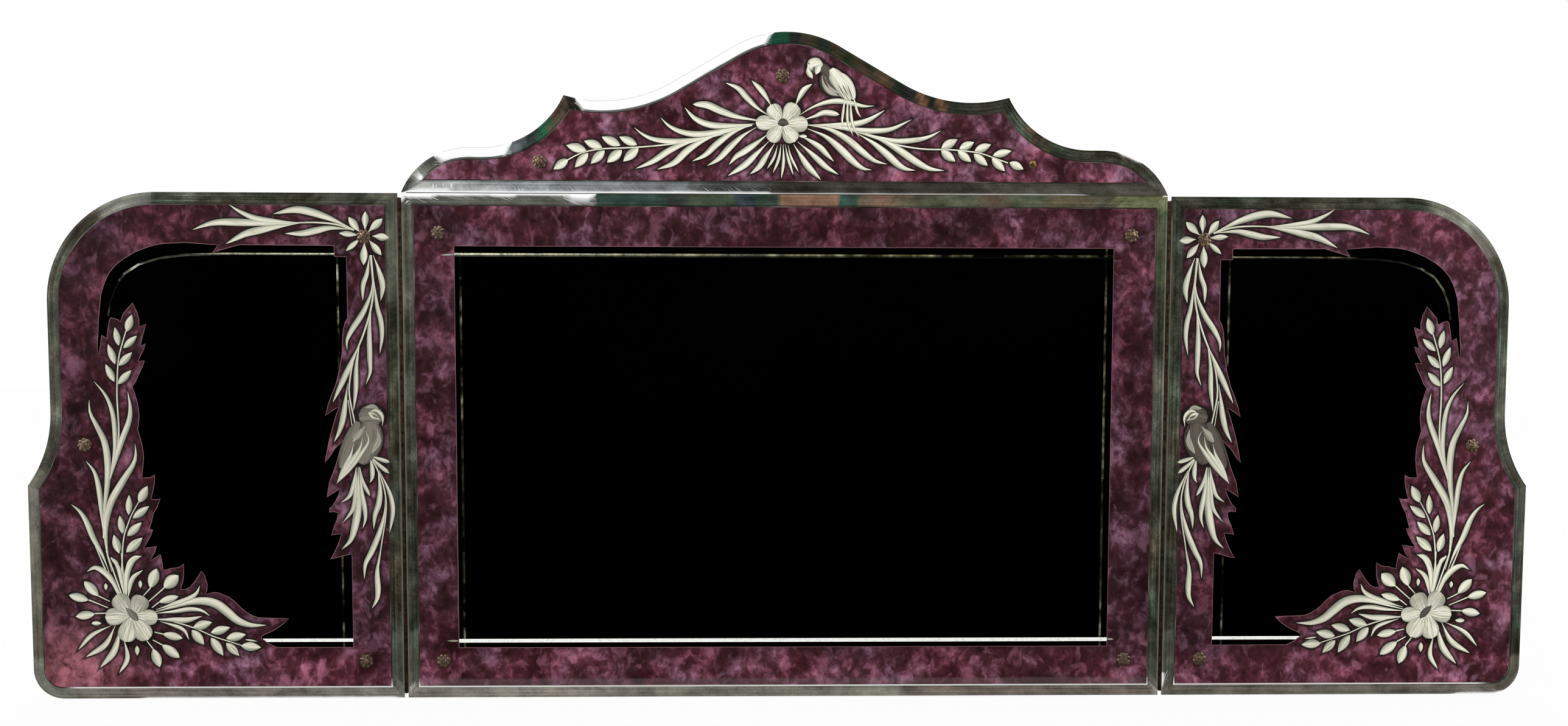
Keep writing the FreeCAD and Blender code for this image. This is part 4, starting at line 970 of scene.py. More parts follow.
def distanceTo(points, a, b):
    # how far points lie from the stretch a to b, and beside which share of it
    span = b - a
    t = np.clip((points - a) @ span / max(span @ span, 1e-9), 0, 1)
    return np.linalg.norm(points - a - t[:, None] * span, axis=1), t


print("cuts laid out:", len(rightStrokes) * 2 + len(crestStrokes))

# Glass outlines, as in the CAD: (centre of the arc or None, point it runs to)

glass = {
    "centreWidth": 771.0, "height": 512.0, "wingWidth": 374.0, "joinGap": 4.0, "seamGap": 0.8,
    "edgeThickness": 2.0, "bevelWidth": 12.7, "arrisWidth": 0.9, "thickness": 5.0,
    "lineDepth": 0.3, "crestRise": 160.6, "topRadius": 105.0, "slope": 30.0,
    "hollowRadius": 139.6, "hollowRise": 91.6, "cuspSpan": 446.0, "shoulderRise": 44.9,
    "shoulderReach": 67.5, "shoulderFlat": 13.0, "cornerRadius": 110.0, "footRadius": 30.0,
    "waistInset": 24.8, "waistHeight": 293.0, "cuspHeight": 217.8,
}
halfCentre = glass["centreWidth"] / 2
wingInner = halfCentre + glass["joinGap"]
wingOuter = wingInner + glass["wingWidth"]
crestBase = glass["height"] + glass["seamGap"]


def spot(x, z):
    return Vector((x, z))


def handed(point, hand):
    return spot(hand * point.x, point.y) if point else None


def circlesMeet(first, firstRadius, second, secondRadius, near):
    line = second - first
    along = (line.length ** 2 + firstRadius ** 2 - secondRadius ** 2) / (2 * line.length)
    line.normalize()
    side = spot(-line.y, line.x) * math.sqrt(firstRadius ** 2 - along ** 2)
    base = first + line * along
    return min((base + side, base - side), key=lambda point: (point - near).length)


def crestOutline(inset):
    slope = math.radians(glass["slope"])
    outward = spot(math.sin(slope), math.cos(slope))
    topRadius, hollowRadius = glass["topRadius"], glass["hollowRadius"]
    top = spot(0, crestBase + glass["crestRise"] - topRadius)
    hollowZ = crestBase + glass["hollowRise"] + hollowRadius
    rise = hollowZ - top.y - topRadius * outward.y
    hollowX = topRadius * outward.x + (hollowRadius - rise * outward.y) / outward.x
    hollow = spot(hollowX, hollowZ)
    cuspX = glass["cuspSpan"] / 2
    cusp = spot(cuspX, hollowZ - math.sqrt(hollowRadius ** 2 - (cuspX - hollowX) ** 2))
    reach, fall = glass["shoulderReach"], glass["shoulderRise"]
    shoulder = crestBase + fall
    endX = halfCentre - reach
    endRadius = (reach ** 2 + fall ** 2) / (2 * fall)
    end = spot(endX, shoulder - endRadius)
    sweepX = endX - glass["shoulderFlat"]
    sweepRise = cusp.y - shoulder
    sweepRadius = ((sweepX - cuspX) ** 2 + sweepRise ** 2) / (2 * sweepRise)
    sweep = spot(sweepX, shoulder + sweepRadius)
    bottom = crestBase + inset
    cornerX = endX + math.sqrt((endRadius - inset) ** 2 - (bottom - end.y) ** 2)
    right = [
        (None, spot(0, crestBase + glass["crestRise"] - inset)),
        (top, top + outward * (topRadius - inset)),
        (None, hollow - outward * (hollowRadius + inset)),
        (hollow, circlesMeet(hollow, hollowRadius + inset, sweep, sweepRadius + inset, cusp)),
        (sweep, spot(sweepX, shoulder - inset)),
        (None, spot(endX, shoulder - inset)),
        (end, spot(cornerX, bottom)),
    ]
    back = [(None, spot(-cornerX, bottom))]
    for number in range(len(right) - 1, 0, -1):
        back.append((handed(right[number][0], -1), handed(right[number - 1][1], -1)))
    return right + back


def centreOutline(inset):
    side, low, high = halfCentre - inset, inset, glass["height"] - inset
    corners = [(side, high), (side, low), (-side, low), (-side, high), (side, high)]
    return [(None, spot(*corner)) for corner in corners]


def wingOutline(inset, hand):
    waistX, waistZ = wingOuter - glass["waistInset"], glass["waistHeight"]
    swing = waistZ - glass["cuspHeight"]
    waistRadius = (glass["waistInset"] ** 2 + swing ** 2) / (2 * glass["waistInset"])
    waist = spot(waistX + waistRadius, waistZ)
    inner, side, high = wingInner + inset, wingOuter - inset, glass["height"] - inset
    cuspZ = waistZ - math.sqrt((waistRadius + inset) ** 2 - (side - waist.x) ** 2)
    foot = spot(wingOuter - glass["footRadius"], glass["footRadius"])
    corner = spot(waistX - glass["cornerRadius"], glass["height"] - glass["cornerRadius"])
    points = [
        (None, spot(inner, inset)), (None, spot(foot.x, inset)), (foot, spot(side, foot.y)),
        (None, spot(side, cuspZ)), (waist, spot(waistX - inset, waistZ)),
        (None, spot(waistX - inset, corner.y)), (corner, spot(corner.x, high)),
        (None, spot(inner, high)), (None, spot(inner, inset)),
    ]
    return [(handed(centre, hand), handed(point, hand)) for centre, point in points]


stride = {"straight": 5.0, "arc": 4.0, "fewest": 4, "apart": 0.0006}


def walk(outline, guide=None):
    # points along an outline; the guide from the outer outline keeps inset copies in step
    found, used, last = [], [], outline[0][1]
    for number, (centre, point) in enumerate(outline[1:]):
        if centre is None:
            length = (point - last).length
            steps = guide[number] if guide else max(1, round(length / stride["straight"]))
            found += [last.lerp(point, k / steps) for k in range(steps)]
            used.append(steps)
        else:
            arm, reach = last - centre, point - centre
            sweep = math.atan2(arm.x * reach.y - arm.y * reach.x, arm.dot(reach))
            start = math.atan2(arm.y, arm.x)
            steps = max(stride["fewest"], round(abs(sweep) * arm.length / stride["arc"]))
            turns = guide[number] if guide else [start + sweep * k / steps for k in range(steps)]
            for k, turn in enumerate(turns):
                share = ((turn - start + math.pi) % (2 * math.pi) - math.pi) / sweep
                share = min(max(share, stride["apart"] * k),
                            1 - stride["apart"] * (len(turns) - k))
                found.append(centre + Matrix.Rotation(sweep * share, 2) @ arm)
            used.append(turns)
        last = point
    return found, used


def signedArea(points):
    return sum(a.x * b.y - b.x * a.y for a, b in zip(points, points[1:] + points[:1])) / 2


def anticlockwise(points):
    points = [spot(*point) for point in points]
    return points if signedArea(points) > 0 else points[::-1]


def ribbon(path, width):
    # a flat strip round a middle line: its two sides
    points = [spot(*point) for point in path]
    left, right = [], []
    for number, point in enumerate(points):
        before, after = points[max(number - 1, 0)], points[min(number + 1, len(points) - 1)]
        heading = (after - before).normalized()
        side = spot(-heading.y, heading.x) * (width / 2)
        left.append(point + side)
        right.append(point - side)
    return right + left[::-1]


fading = {"short": 4.0, "long": 10.0}
noBlock = (0.05, 0.05, 0.04, 0.0)


def brightness(spots, x, z):
    # painted highlights: spots are x low, x high, z low, z high, strength; each fades out beyond
    # its box
    best = 0.0
    for lowX, highX, lowZ, highZ, strength in spots:
        reach = fading["long" if highX - lowX > fading["long"] else "short"]
        gap = max((lowX - x) / reach, (x - highX) / reach, (lowZ - z) / fading["short"],
                  (z - highZ) / fading["short"], 0.0)
        best = max(best, strength * max(0.0, 1.0 - gap))
    return best


def blockAt(rows, x, z):
    # painted reflections: a row is z low, z high, the x where it starts, then x end, red, green,
    # blue, share each
    for lowZ, highZ, lowX, *blocks in rows:
        for highX, *colour, share in blocks:
            if lowX <= x < highX and lowZ <= z < highZ:
                return tint(*colour)[:3] + (share,)
            lowX = highX
    return noBlock


def store(mesh, name, values, kind="FLOAT", domain="CORNER", key="value"):
    mesh.attributes.new(name, kind, domain).data.foreach_set(key, values)


def glassPanel(name, outline, plan):
    # One closed shell: back, edge, bevel, arris and front. Each face has its material's name,
    # its corners' places along and across the bevel, and the cut lines that it belongs to.
    inner = glass["bevelWidth"]
    insets = [0.0, 0.0, inner - glass["arrisWidth"], inner]
    slope = (glass["thickness"] - glass["edgeThickness"]) / inner
    depths = [backY, backY - glass["edgeThickness"] * mm,
              backY - (glass["edgeThickness"] + slope * insets[2]) * mm, frontY]
    first, guide = walk(outline(0.0))
    loops = [walk(outline(inset), guide)[0] for inset in insets]
    if signedArea(first) < 0:
        loops = [loop[::-1] for loop in loops]
    size = len(first)
    run = [0.0]
    for a, b in zip(loops[0], loops[0][1:] + loops[0][:1]):
        run.append(run[-1] + (b - a).length * mm)
    vertices = [place(point.x, point.y, depth)
                for loop, depth in zip(loops, depths) for point in loop]
    faces = [(list(range(size))[::-1], "back", [(0.0, 0.0)] * size, [])]
    for band, kind in enumerate(("edge", "bevel", "arris")):
        low, high = band * size, (band + 1) * size
        for k in range(size):
            n = (k + 1) % size
            corners = [(run[k], 0.0), (run[k + 1], 0.0), (run[k + 1], 1.0), (run[k], 1.0)]
            faces.append(([low + k, low + n, high + n, high + k], kind, corners, []))
    faces += frontFaces(loops[3], plan, vertices)

    mesh = bpy.data.meshes.new(name)
    mesh.from_pydata(vertices, [], [face[0] for face in faces])
    materials = {"back": backing, "edge": edgeGlass, "bevel": bevel, "arris": arris,
                 "paint": plum, "mirror": mirror, "line": cutLine}
    for material in materials.values():
        mesh.materials.append(material)
    order = list(materials)
    mesh.polygons.foreach_set("material_index", [order.index(face[1]) for face in faces])
    # per corner, the painted light of the bevels and cut lines: how white it is painted, its
    # painted glint, and the colour block it is painted to reflect
    runs, shines, glints, blocks = [], [], [], []
    for face, kind, corners, lines in faces:
        sloped = kind in ("bevel", "arris")
        for vertex, corner in zip(face, corners):
            x, z = vertices[vertex].x / mm, (vertices[vertex].z - footZ) / mm
            across = abs(x) if plan["even"] else x
            levels = [np.interp(z if line.get("upright") else across, *zip(*line["shine"]))
                      for line in lines]
            runs += corner
            shines.append(brightness(plan["bright"], x, z) if sloped
                          else max(levels, default=0.0))
            glints.append(brightness(plan["glints"], x, z) if sloped else 0.0)
            blocks += blockAt(plan["blocks"] if sloped else [], x, z)
    mesh.uv_layers.new(name="bevelRun").data.foreach_set("uv", runs)
    store(mesh, "shine", shines)
    store(mesh, "glint", glints)
    store(mesh, "paintedReflection", blocks, "FLOAT_COLOR", key="color")
    spots = np.array([(v.x / mm, (v.z - footZ) / mm) for v in vertices])
    store(mesh, "shade", shadeAt(spots, plan["strokes"]), domain="POINT")
    smoothBevels(mesh)
    return added(name, mesh)


def frontFaces(loop, plan, vertices):
    # the flat front: zone 0 is all of it, then come the mirror fields, then the cut lines
    size, ringStart = len(loop), len(vertices) - len(loop)
    flat, zones = list(loop), [list(range(size))]
    for points in plan["mirror"] + [ribbon(line["path"], line["width"]) for line in plan["lines"]]:
        zones.append(list(range(len(flat), len(flat) + len(points))))
        flat += anticlockwise(points)
    middles, deep = [], set()
    for line in plan["lines"]:
        start, end = len(flat), len(flat) + len(line["path"])
        flat += [spot(*point) for point in line["path"]]
        middles += [(k, k + 1) for k in range(start, end - 1)]
        deep.update(range(start + 1, end - 1))
    if plan["strokes"]:
        flat += [spot(*seed) for seed in cutShadowGrid(plan["strokes"], loop)]
    cut = delaunay_2d_cdt(flat, middles, zones, 1, 1e-4)
    found, triangles, fromPoints, fromFaces = [cut[k] for k in (0, 2, 3, 5)]
    number = []
    for point, sources in zip(found, fromPoints):
        ring = [source for source in sources if source < size]
        number.append(ringStart + ring[0] if ring else len(vertices))
        if not ring:
            sunk = glass["lineDepth"] * mm if deep.intersection(sources) else 0.0
            vertices.append(place(point.x, point.y, frontY + sunk))
    fields = len(plan["mirror"])
    faces = []
    for triangle, sources in zip(triangles, fromFaces):
        if not sources:
            continue
        lines = [plan["lines"][source - fields - 1] for source in sources if source > fields]
        inMirror = any(0 < source <= fields for source in sources)
        kind = ("line" if lines else "mirror") if inMirror else "paint"
        faces.append(([number[index] for index in triangle], kind, [(0.0, 0.0)] * 3, lines))
    return faces


def smoothBevels(mesh, crispAngle=math.radians(6)):
    # curved slopes read as curves; every ridge between two facets stays crisp
    mesh.update()
    faceOf = {}
    for polygon in mesh.polygons:
        for key in polygon.edge_keys:
            faceOf.setdefault(key, []).append(polygon)
    sharp = np.zeros(len(mesh.edges), bool)
    for edge in mesh.edges:
        sides = faceOf.get(edge.key, [])
        if len(sides) == 2:
            sharp[edge.index] = sides[0].normal.angle(sides[1].normal, 0.0) > crispAngle
    store(mesh, "sharp_edge", sharp, "BOOLEAN", "EDGE")


def cutShadowGrid(strokes, limit):
    # extra points on the glass near the cuts, so that their painted soft shadows have somewhere to
    # fade
    step, edge = cutShadowSeeds["step"], cutShadowSeeds["edge"]
    ring = np.array([(p.x, p.y) for p in limit])
    low, high = ring.min(0) + edge, ring.max(0) - edge
    rows = np.arange(low[1], high[1], step * cutShadowSeeds["rowShare"])
    seeds = np.array([(x, z) for number, z in enumerate(rows)
                      for x in np.arange(low[0] + (number % 2) * step / 2, high[0], step)])
    near = shadeAt(seeds, strokes, cutShadowSeeds["soft"], cutShadowSeeds["beyond"]) > 0.0
    return seeds[near & insideLoop(seeds, ring, cutShadowSeeds["clear"])]


def insideLoop(points, ring, margin):
    inside = np.zeros(len(points), bool)
    clear = np.ones(len(points), bool)
    for a, b in zip(ring, np.roll(ring, -1, axis=0)):
        crosses = (a[1] > points[:, 1]) != (b[1] > points[:, 1])
        rise = b[1] - a[1]
        if abs(rise) > 1e-9:
            inside ^= crosses & (points[:, 0] < a[0] + (points[:, 1] - a[1]) * (b[0] - a[0]) / rise)
        clear &= distanceTo(points, a, b)[0] > margin
    return inside & clear


def flipped(points):
    return [(-x, z) for x, z in points]


centreField = [(-333, 52), (331, 52), (331, 459.5), (-333, 459.5)]
leftLines = [dict(line, path=flipped(line["path"]),
                  shine=line.get("leftShine", line["shine"])) for line in wingLines]
# painted highlights: the white line along the bottom bevels and the pale rims at the joints
lowGlint = (-720, 720, 11, 14.5, 1.0)
leftJoint = (-391, -383.5, 15, 490, 0.8)
rightJoint = (383.5, 391, 15, 490, 0.8)

# bright: where a bevel is painted shining white; blocks: what else it is painted to reflect. Both
# are laid out as above.
panels = {
    "centre_glass": ("centre", centreOutline, {
        "mirror": [centreField], "lines": centreLines, "strokes": [], "even": False,
        "bright": [(-382, -360, 510, 513, 0.66), (-350, -300, 510, 513, 0.2),
                   (-295, -275, 506, 513, 0.3), (-266, -226, 510, 513, 0.17),
                   (-214, -200, 500, 513, 0.6),
                   (-380, -375, 13.5, 17, 1.0), (375, 380, 13.5, 17, 1.0)],
        "glints": [lowGlint, leftJoint, rightJoint],
        "blocks": [
            (499, 513, -386, (-218, 118, 120, 112, 0.7), (-191, 156, 158, 156, 0.7),
             (-121, 66, 90, 84, 0.8), (-98, 70, 76, 72, 0.8), (-53, 80, 94, 78, 0.8),
             (-32, 66, 80, 92, 0.8), (-9, 70, 92, 80, 0.8), (53, 166, 126, 104, 0.9),
             (71, 56, 86, 78, 0.8), (84, 124, 112, 94, 0.8), (109, 148, 120, 100, 0.85),
             (129, 122, 112, 92, 0.8), (191, 104, 108, 86, 0.7), (224, 128, 110, 92, 0.7),
             (261, 98, 110, 88, 0.7), (315, 122, 112, 90, 0.7), (334, 88, 86, 70, 0.75),
             (386, 144, 150, 108, 0.8)),
            (400, 499, -386, (-372, 122, 124, 110, 0.65)),
            (420, 499, 372, (386, 100, 112, 82, 0.55)),
            (13, 70, -386, (386, 112, 116, 106, 0.45)),
            (0, 13, -386, (-160, 178, 171, 160, 0.8), (120, 168, 165, 151, 0.8),
             (386, 152, 142, 130, 0.8))]}),
    "crest_glass": ("centre", crestOutline, {
        "mirror": [], "lines": [], "strokes": crestStrokes, "even": False,
        "bright": [(-202, -24, 585, 690, 1.0), (-342, -284, 540, 580, 1.0),
                   (-374, -345, 512, 516, 0.42), (-345, -20, 512, 514, 0.17),
                   (-20, 300, 512, 514, 0.08), (340, 356, 548, 560, 0.16)],
        "glints": [],
        "blocks": [
            (512, 514, -384, (-366, 222, 224, 220, 0.9)),
            (512, 525.8, -366, (-350, 222, 224, 220, 0.9), (-285, 212, 217, 216, 0.85)),
            (512, 527, -285, (-225, 190, 198, 202, 0.85), (-165, 172, 178, 182, 0.8),
             (-95, 146, 152, 156, 0.8), (-20, 104, 107, 108, 0.7), (210, 74, 70, 66, 0.7),
             (386, 104, 101, 92, 0.7)),
            (527, 575, -386, (-343, 96, 100, 92, 0.6)),
            (540, 600, -290, (-262, 116, 124, 128, 0.8), (-249, 58, 72, 70, 0.7)),
            (540, 610, -249, (-237, 46, 112, 84, 0.85)),
            (540, 620, -237, (-221, 102, 84, 72, 0.8)), (590, 620, -221, (-204, 48, 45, 43, 0.85)),
            (655, 680, -24, (3, 34, 92, 68, 0.85)),
            (640, 680, 3, (15, 46, 56, 52, 0.8), (29, 72, 62, 50, 0.8)),
            (620, 680, 29, (42, 46, 62, 52, 0.8), (55, 84, 72, 56, 0.8)),
            (610, 670, 55, (67, 52, 66, 48, 0.8), (79, 94, 74, 58, 0.8)),
            (600, 660, 79, (91, 58, 66, 52, 0.8), (104, 104, 78, 60, 0.8), (116, 46, 56, 48, 0.8)),
            (590, 660, 116, (131, 52, 52, 58, 0.8)),
            (590, 640, 131, (139, 150, 106, 80, 0.9), (150, 40, 46, 42, 0.9),
             (158, 142, 102, 78, 0.9)),
            (590, 630, 158, (223, 54, 58, 52, 0.7)),
            (545, 600, 243, (250, 118, 84, 62, 0.8), (257, 50, 60, 52, 0.8)),
            (540, 590, 257, (263, 112, 92, 68, 0.8))]}),
    "left_wing_glass": ("left_wing", lambda inset: wingOutline(inset, -1), {
        "mirror": [flipped(wingBorder)], "lines": leftLines, "strokes": leftStrokes,
        "even": True, "bright": [(-650, -400, 0, 2, 0.12)], "glints": [lowGlint, leftJoint],
        "blocks": [
            (0, 40, -764, (-720, 156, 158, 146, 0.7)), (40, 235, -764, (-735, 128, 122, 110, 0.6)),
            (0, 13, -720, (-560, 152, 143, 136, 0.75), (-480, 166, 158, 148, 0.75),
             (-389, 172, 170, 160, 0.75)),
            (499, 513, -470, (-437, 110, 112, 102, 0.5), (-415, 66, 70, 62, 0.5),
             (-389, 124, 124, 112, 0.6)),
            (400, 499, -403, (-389, 122, 124, 108, 0.6)),
            (13, 70, -403, (-389, 112, 116, 106, 0.5))]}),
    "right_wing_glass": ("right_wing", lambda inset: wingOutline(inset, 1), {
        "mirror": [wingBorder], "lines": wingLines, "strokes": rightStrokes, "even": True,
        "bright": [(392.5, 397.5, 13.5, 17, 1.0), (700, 750, 0, 1, 0.15)],
        "glints": [lowGlint, rightJoint],
        "blocks": [
            (0, 13, 389, (740, 146, 138, 128, 0.75)), (0, 40, 740, (764, 136, 132, 120, 0.6)),
            (13, 70, 389, (403, 112, 116, 106, 0.5))]}),
}
for name, (body, outline, plan) in panels.items():
    panel = glassPanel(name.replace("glass", "panel"), outline, plan)
    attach(panel, body)
    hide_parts(name)
    print("made", panel.name, len(panel.data.polygons), "faces")


# Geometry Nodes trees

def newTree(name, inputs):
    tree = bpy.data.node_groups.new(name, "GeometryNodeTree")
    tree.interface.new_socket("Geometry", in_out="INPUT", socket_type="NodeSocketGeometry")
    for label, kind in inputs.items():
        tree.interface.new_socket(label, in_out="INPUT", socket_type="NodeSocket" + kind)
    tree.interface.new_socket("Geometry", in_out="OUTPUT", socket_type="NodeSocketGeometry")
    return tree, node(tree, "NodeGroupInput")


def closeTree(tree, geometry, material):
    real = node(tree, "GeometryNodeRealizeInstances", {"Geometry": geometry})
    smooth = node(tree, "GeometryNodeSetShadeSmooth", {"Geometry": real, "Shade Smooth": True})
    done = node(tree, "GeometryNodeSetMaterial", {"Geometry": smooth, "Material": material})
    join(done, tree.nodes.new("NodeGroupOutput").inputs[0])
    return tree


def grown(name, source, tree, values):
    # runs the tree once on the source mesh and keeps the plain result
    seed = added(name + "_source", source)
    modifier = seed.modifiers.new("nodes", "NODES")
    modifier.node_group = tree
    for item in tree.interface.items_tree:
        if item.item_type == "SOCKET" and item.in_out == "INPUT" and item.name in values:
            modifier[item.identifier] = values[item.name]
    bpy.context.view_layer.update()
    ready = seed.evaluated_get(bpy.context.evaluated_depsgraph_get())
    mesh = bpy.data.meshes.new_from_object(ready)
    mesh.name = name
    seed.modifiers.remove(modifier)
    bpy.data.objects.remove(seed)
    return added(name, mesh)


def named(tree, name):
    return node(tree, "GeometryNodeInputNamedAttribute", {"Name": name},
                data_type="FLOAT")["Attribute"]


def leafTree():
    # sweeps a ridged profile along every path; the path's halfWidth is its width
    tree, given = newTree("ridged_leaves", {
        "Ridge": "Float", "Sink": "Float", "Profile Points": "Int", "Front": "Float",
        "Material": "Material"})
    ring = node(tree, "GeometryNodeCurvePrimitiveCircle", {
        "Resolution": given["Profile Points"], "Radius": 1.0})
    parts = split(node(tree, "GeometryNodeInputPosition"))
    ring = node(tree, "GeometryNodeStoreNamedAttribute", {
        "Geometry": ring, "Name": "across", "Value": parts["X"]},
        data_type="FLOAT", domain="POINT")
    crown = maths("POWER", maths("SUBTRACT", 1.0, abs(parts["X"])).most(0.0), 0.8)
    height = node(tree, "ShaderNodeMix", {
        0: parts["Y"] > 0.0001, 2: parts["Y"] * given["Sink"], 3: crown * given["Ridge"]},
        data_type="FLOAT")
    profile = node(tree, "GeometryNodeSetPosition", {
        "Geometry": ring, "Position": combine(height, parts["X"])})
    curve = node(tree, "GeometryNodeMeshToCurve", {"Mesh": given["Geometry"]})
    curve = node(tree, "GeometryNodeSetCurveNormal", {
        "Curve": curve, "Normal": (0.0, -1.0, 0.0)}, mode="FREE")
    swept = node(tree, "GeometryNodeCurveToMesh", {
        "Curve": curve, "Profile Curve": profile, "Scale": named(tree, "halfWidth"),
        "Fill Caps": True})
    # the path's rise flattens its ridge, its lift carries it off the glass
    parts = split(node(tree, "GeometryNodeInputPosition"))
    depth = (parts["Y"] - given["Front"]) * named(tree, "rise") + given["Front"]
    placed = node(tree, "GeometryNodeSetPosition", {
        "Geometry": swept,
        "Position": combine(parts["X"], depth - named(tree, "lift"), parts["Z"])})
    # the profile runs clockwise, so the faces are turned to look outwards
    turned = node(tree, "GeometryNodeFlipFaces", {"Mesh": placed})
    return closeTree(tree, turned, given["Material"])


def slopeDrop(x, half):
    # how far the glass falls away under a cut that runs over a wing's inner bevel
    if abs(x) < halfCentre:
        return 0.0
    fall = (glass["thickness"] - glass["edgeThickness"]) / glass["bevelWidth"]
    inside = wingInner + glass["bevelWidth"] - abs(x) - leafShape["slopeShare"] * half
    return max(0.0, inside) * fall


def pathMesh(name, strokes):
    vertices, edges = [], []
    values = {key: [] for key in ("halfWidth", "along", "tone", "lift", "rise", "streak", "seed")}
    for number, stroke in enumerate(strokes):
        start = len(vertices)
        for (x, z), along, half in zip(stroke["line"], stroke["along"], stroke["half"]):
            vertices.append(place(x, z, frontY))
            values["halfWidth"].append(half * mm)
            values["along"].append(along * mm)
            values["lift"].append((stroke["lift"] - slopeDrop(x, half)) * mm)
            values["rise"].append(stroke["rise"])
            values["streak"].append(stroke["streak"])
            values["seed"].append(number * leafShape["seedStep"])
        values["tone"] += list(np.broadcast_to(stroke["tone"], len(stroke["line"])))
        edges += [(k, k + 1) for k in range(start, len(vertices) - 1)]
    mesh = bpy.data.meshes.new(name)
    mesh.from_pydata(vertices, edges, [])
    for key, numbers in values.items():
        store(mesh, key, numbers, domain="POINT")
    return mesh


leaves = leafTree()
engravings = {
    "centre_engraving": ("centre", crestStrokes + wedges + [borderStroke(centreField)]),
    "left_wing_engraving": ("left_wing", leftStrokes + [borderStroke(flipped(wingBorder))]),
    "right_wing_engraving": ("right_wing", rightStrokes + [borderStroke(wingBorder)]),
}
for name, (body, strokes) in engravings.items():
    piece = grown(name, pathMesh(name + "_paths", strokes), leaves, {
        "Ridge": leafShape["ridge"], "Sink": leafShape["sink"],
        "Profile Points": leafShape["profilePoints"], "Front": frontY,
        "Material": engraving})
    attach(piece, body)
    depths = [v.co.y for v in piece.data.vertices]
    print("made", name, len(piece.data.polygons), "faces, depth", round(min(depths), 5),
          round(max(depths), 5))

# Rosettes

rosette = {"petals": 8, "radius": 7.3, "crown": 3.0, "height": 3.7, "turn": 0.6, "seed": 11}


def rosetteTree():
    tree, given = newTree("petal_rosettes", {
        "Petals": "Int", "Radius": "Float", "Crown Radius": "Float", "Height": "Float",
        "Seed": "Int", "Material": "Material"})
    radius, tall, crown = given["Radius"], given["Height"], given["Crown Radius"]

    def lobe(length, width, thickness, offset, lift, segments=12, rings=7):
        ball = node(tree, "GeometryNodeMeshUVSphere", {
            "Segments": segments, "Rings": rings, "Radius": 1.0})
        return node(tree, "GeometryNodeTransform", {
            "Geometry": ball, "Translation": combine(offset, 0.0, lift),
            "Scale": combine(length, width, thickness)})

    def joined(*items):
        made = tree.nodes.new("GeometryNodeJoinGeometry")
        for item in items:
            join(item, made.inputs[0])
        return Wire(made.outputs[0])

    petal = lobe(radius * 0.36, radius * 0.31, tall * 0.22, radius * 0.64, tall * 0.36)
    rib = lobe(radius * 0.32, radius * 0.045, tall * 0.18, radius * 0.58, tall * 0.52, 8, 5)
    bead = lobe(radius * 0.09, radius * 0.11, tall * 0.16, radius * 0.3, tall * 0.72, 8, 5)
    points = node(tree, "GeometryNodePoints", {"Count": given["Petals"]})
    step = maths("DIVIDE", 2 * math.pi, given["Petals"])
    turn = combine(0.0, 0.0, node(tree, "GeometryNodeInputIndex") * step)
    petals = node(tree, "GeometryNodeInstanceOnPoints", {
        "Points": points, "Instance": joined(petal, rib, bead), "Rotation": turn})
    dome = lobe(crown, crown, tall * 0.36, 0.0, tall * 0.46, 20, 9)
    knob = lobe(crown * 0.34, crown * 0.34, tall * 0.24, 0.0, tall * 0.76)
    dish = node(tree, "GeometryNodeMeshCone", {
        "Vertices": 32, "Radius Top": radius * 0.6, "Radius Bottom": radius * 0.9,
        "Depth": tall * 0.56})
    spin = node(tree, "FunctionNodeRandomValue", {
        2: 0.0, 3: rosette["turn"], "Seed": given["Seed"]}, data_type="FLOAT")[1]
    upright = node(tree, "ShaderNodeCombineXYZ", {"X": math.pi / 2})
    facing = node(tree, "FunctionNodeRotateRotation", {
        "Rotation": upright, "Rotate By": combine(0.0, 0.0, spin)}, rotation_space="LOCAL")
    setOut = node(tree, "GeometryNodeInstanceOnPoints", {
        "Points": given["Geometry"], "Instance": joined(petals, dome, knob, dish),
        "Rotation": facing})
    return closeTree(tree, setOut, given["Material"])


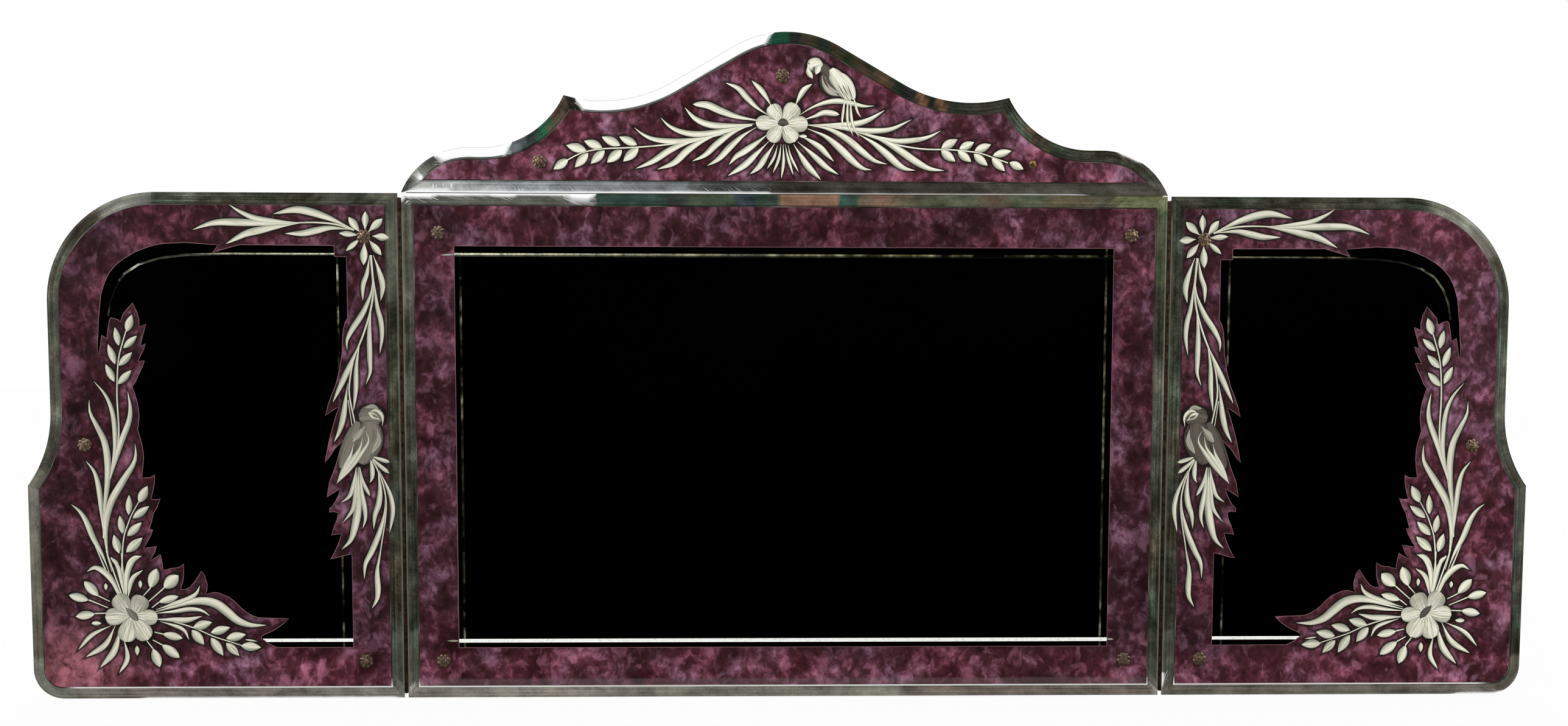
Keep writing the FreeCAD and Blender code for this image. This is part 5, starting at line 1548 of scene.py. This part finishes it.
wingRosettes = [(422.5, 468.5), (704, 259.5), (427, 38.5)]
rosettePlaces = {
    "centre": [(-348.5, 38.5), (348.5, 38.5), (-348.5, 472.5), (348.5, 472.5)],
    "crest": [(-5, 629.4), (-247, 543.4)],
    "left_wing": flipped(wingRosettes), "right_wing": wingRosettes,
}
petals = rosetteTree()
for number, (panel, places) in enumerate(rosettePlaces.items()):
    mesh = bpy.data.meshes.new(panel + "_rosette_places")
    mesh.from_pydata([place(x, z, frontY) for x, z in places], [], [])
    piece = grown(panel + "_petal_rosettes", mesh, petals, {
        "Petals": rosette["petals"], "Radius": rosette["radius"] * mm,
        "Crown Radius": rosette["crown"] * mm, "Height": rosette["height"] * mm,
        "Seed": rosette["seed"] + number, "Material": rosetteBrass})
    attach(piece, "centre" if panel == "crest" else panel)
    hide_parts(panel + "_rosettes")
    print("made", piece.name, len(piece.data.polygons), "faces")

# CAD nodes that stay get their finishes; the first ending that fits a node's name counts

# the hinge brass is painted dark: partly its tarnish, partly painted shade of the narrow gap it
# sits in
hingeTarnishAndShade = agedBrass("hinge_brass", (92, 70, 52), (38, 30, 25), 260.0)
plateBrass = agedBrass("plate_brass", (190, 152, 96), (120, 88, 52), 90.0)
finishes = [
    (grainy("felt_bed", (58, 66, 50), (900.0, 4.0, 1.5), [
        (0.35, 42, 48, 38), (0.65, 78, 86, 66)], {"Roughness": 0.95, "Sheen Weight": 0.4},
        relief=(0.0004, 0.6)), "_felt"),
    (plywoodBoard(), "_backboard"), (plateBrass, ("_hanger_plate", "_hanger_screws")),
    (agedBrass("glide_steel", (150, 148, 144), (84, 78, 72), 300.0), "_glide"),
    (hingeTarnishAndShade, ("_leaf", "_hinge_pin", "_hinge_fixed_screws", "_hinge_moving_screws")),
    (agedBrass("screw_brass", (176, 138, 98), (96, 68, 46), 500.0), ("_screws", "_cup_washers")),
]
for name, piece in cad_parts.items():
    for material, endings in finishes:
        if name.endswith(endings):
            piece.data.materials.clear()
            piece.data.materials.append(material)
            break
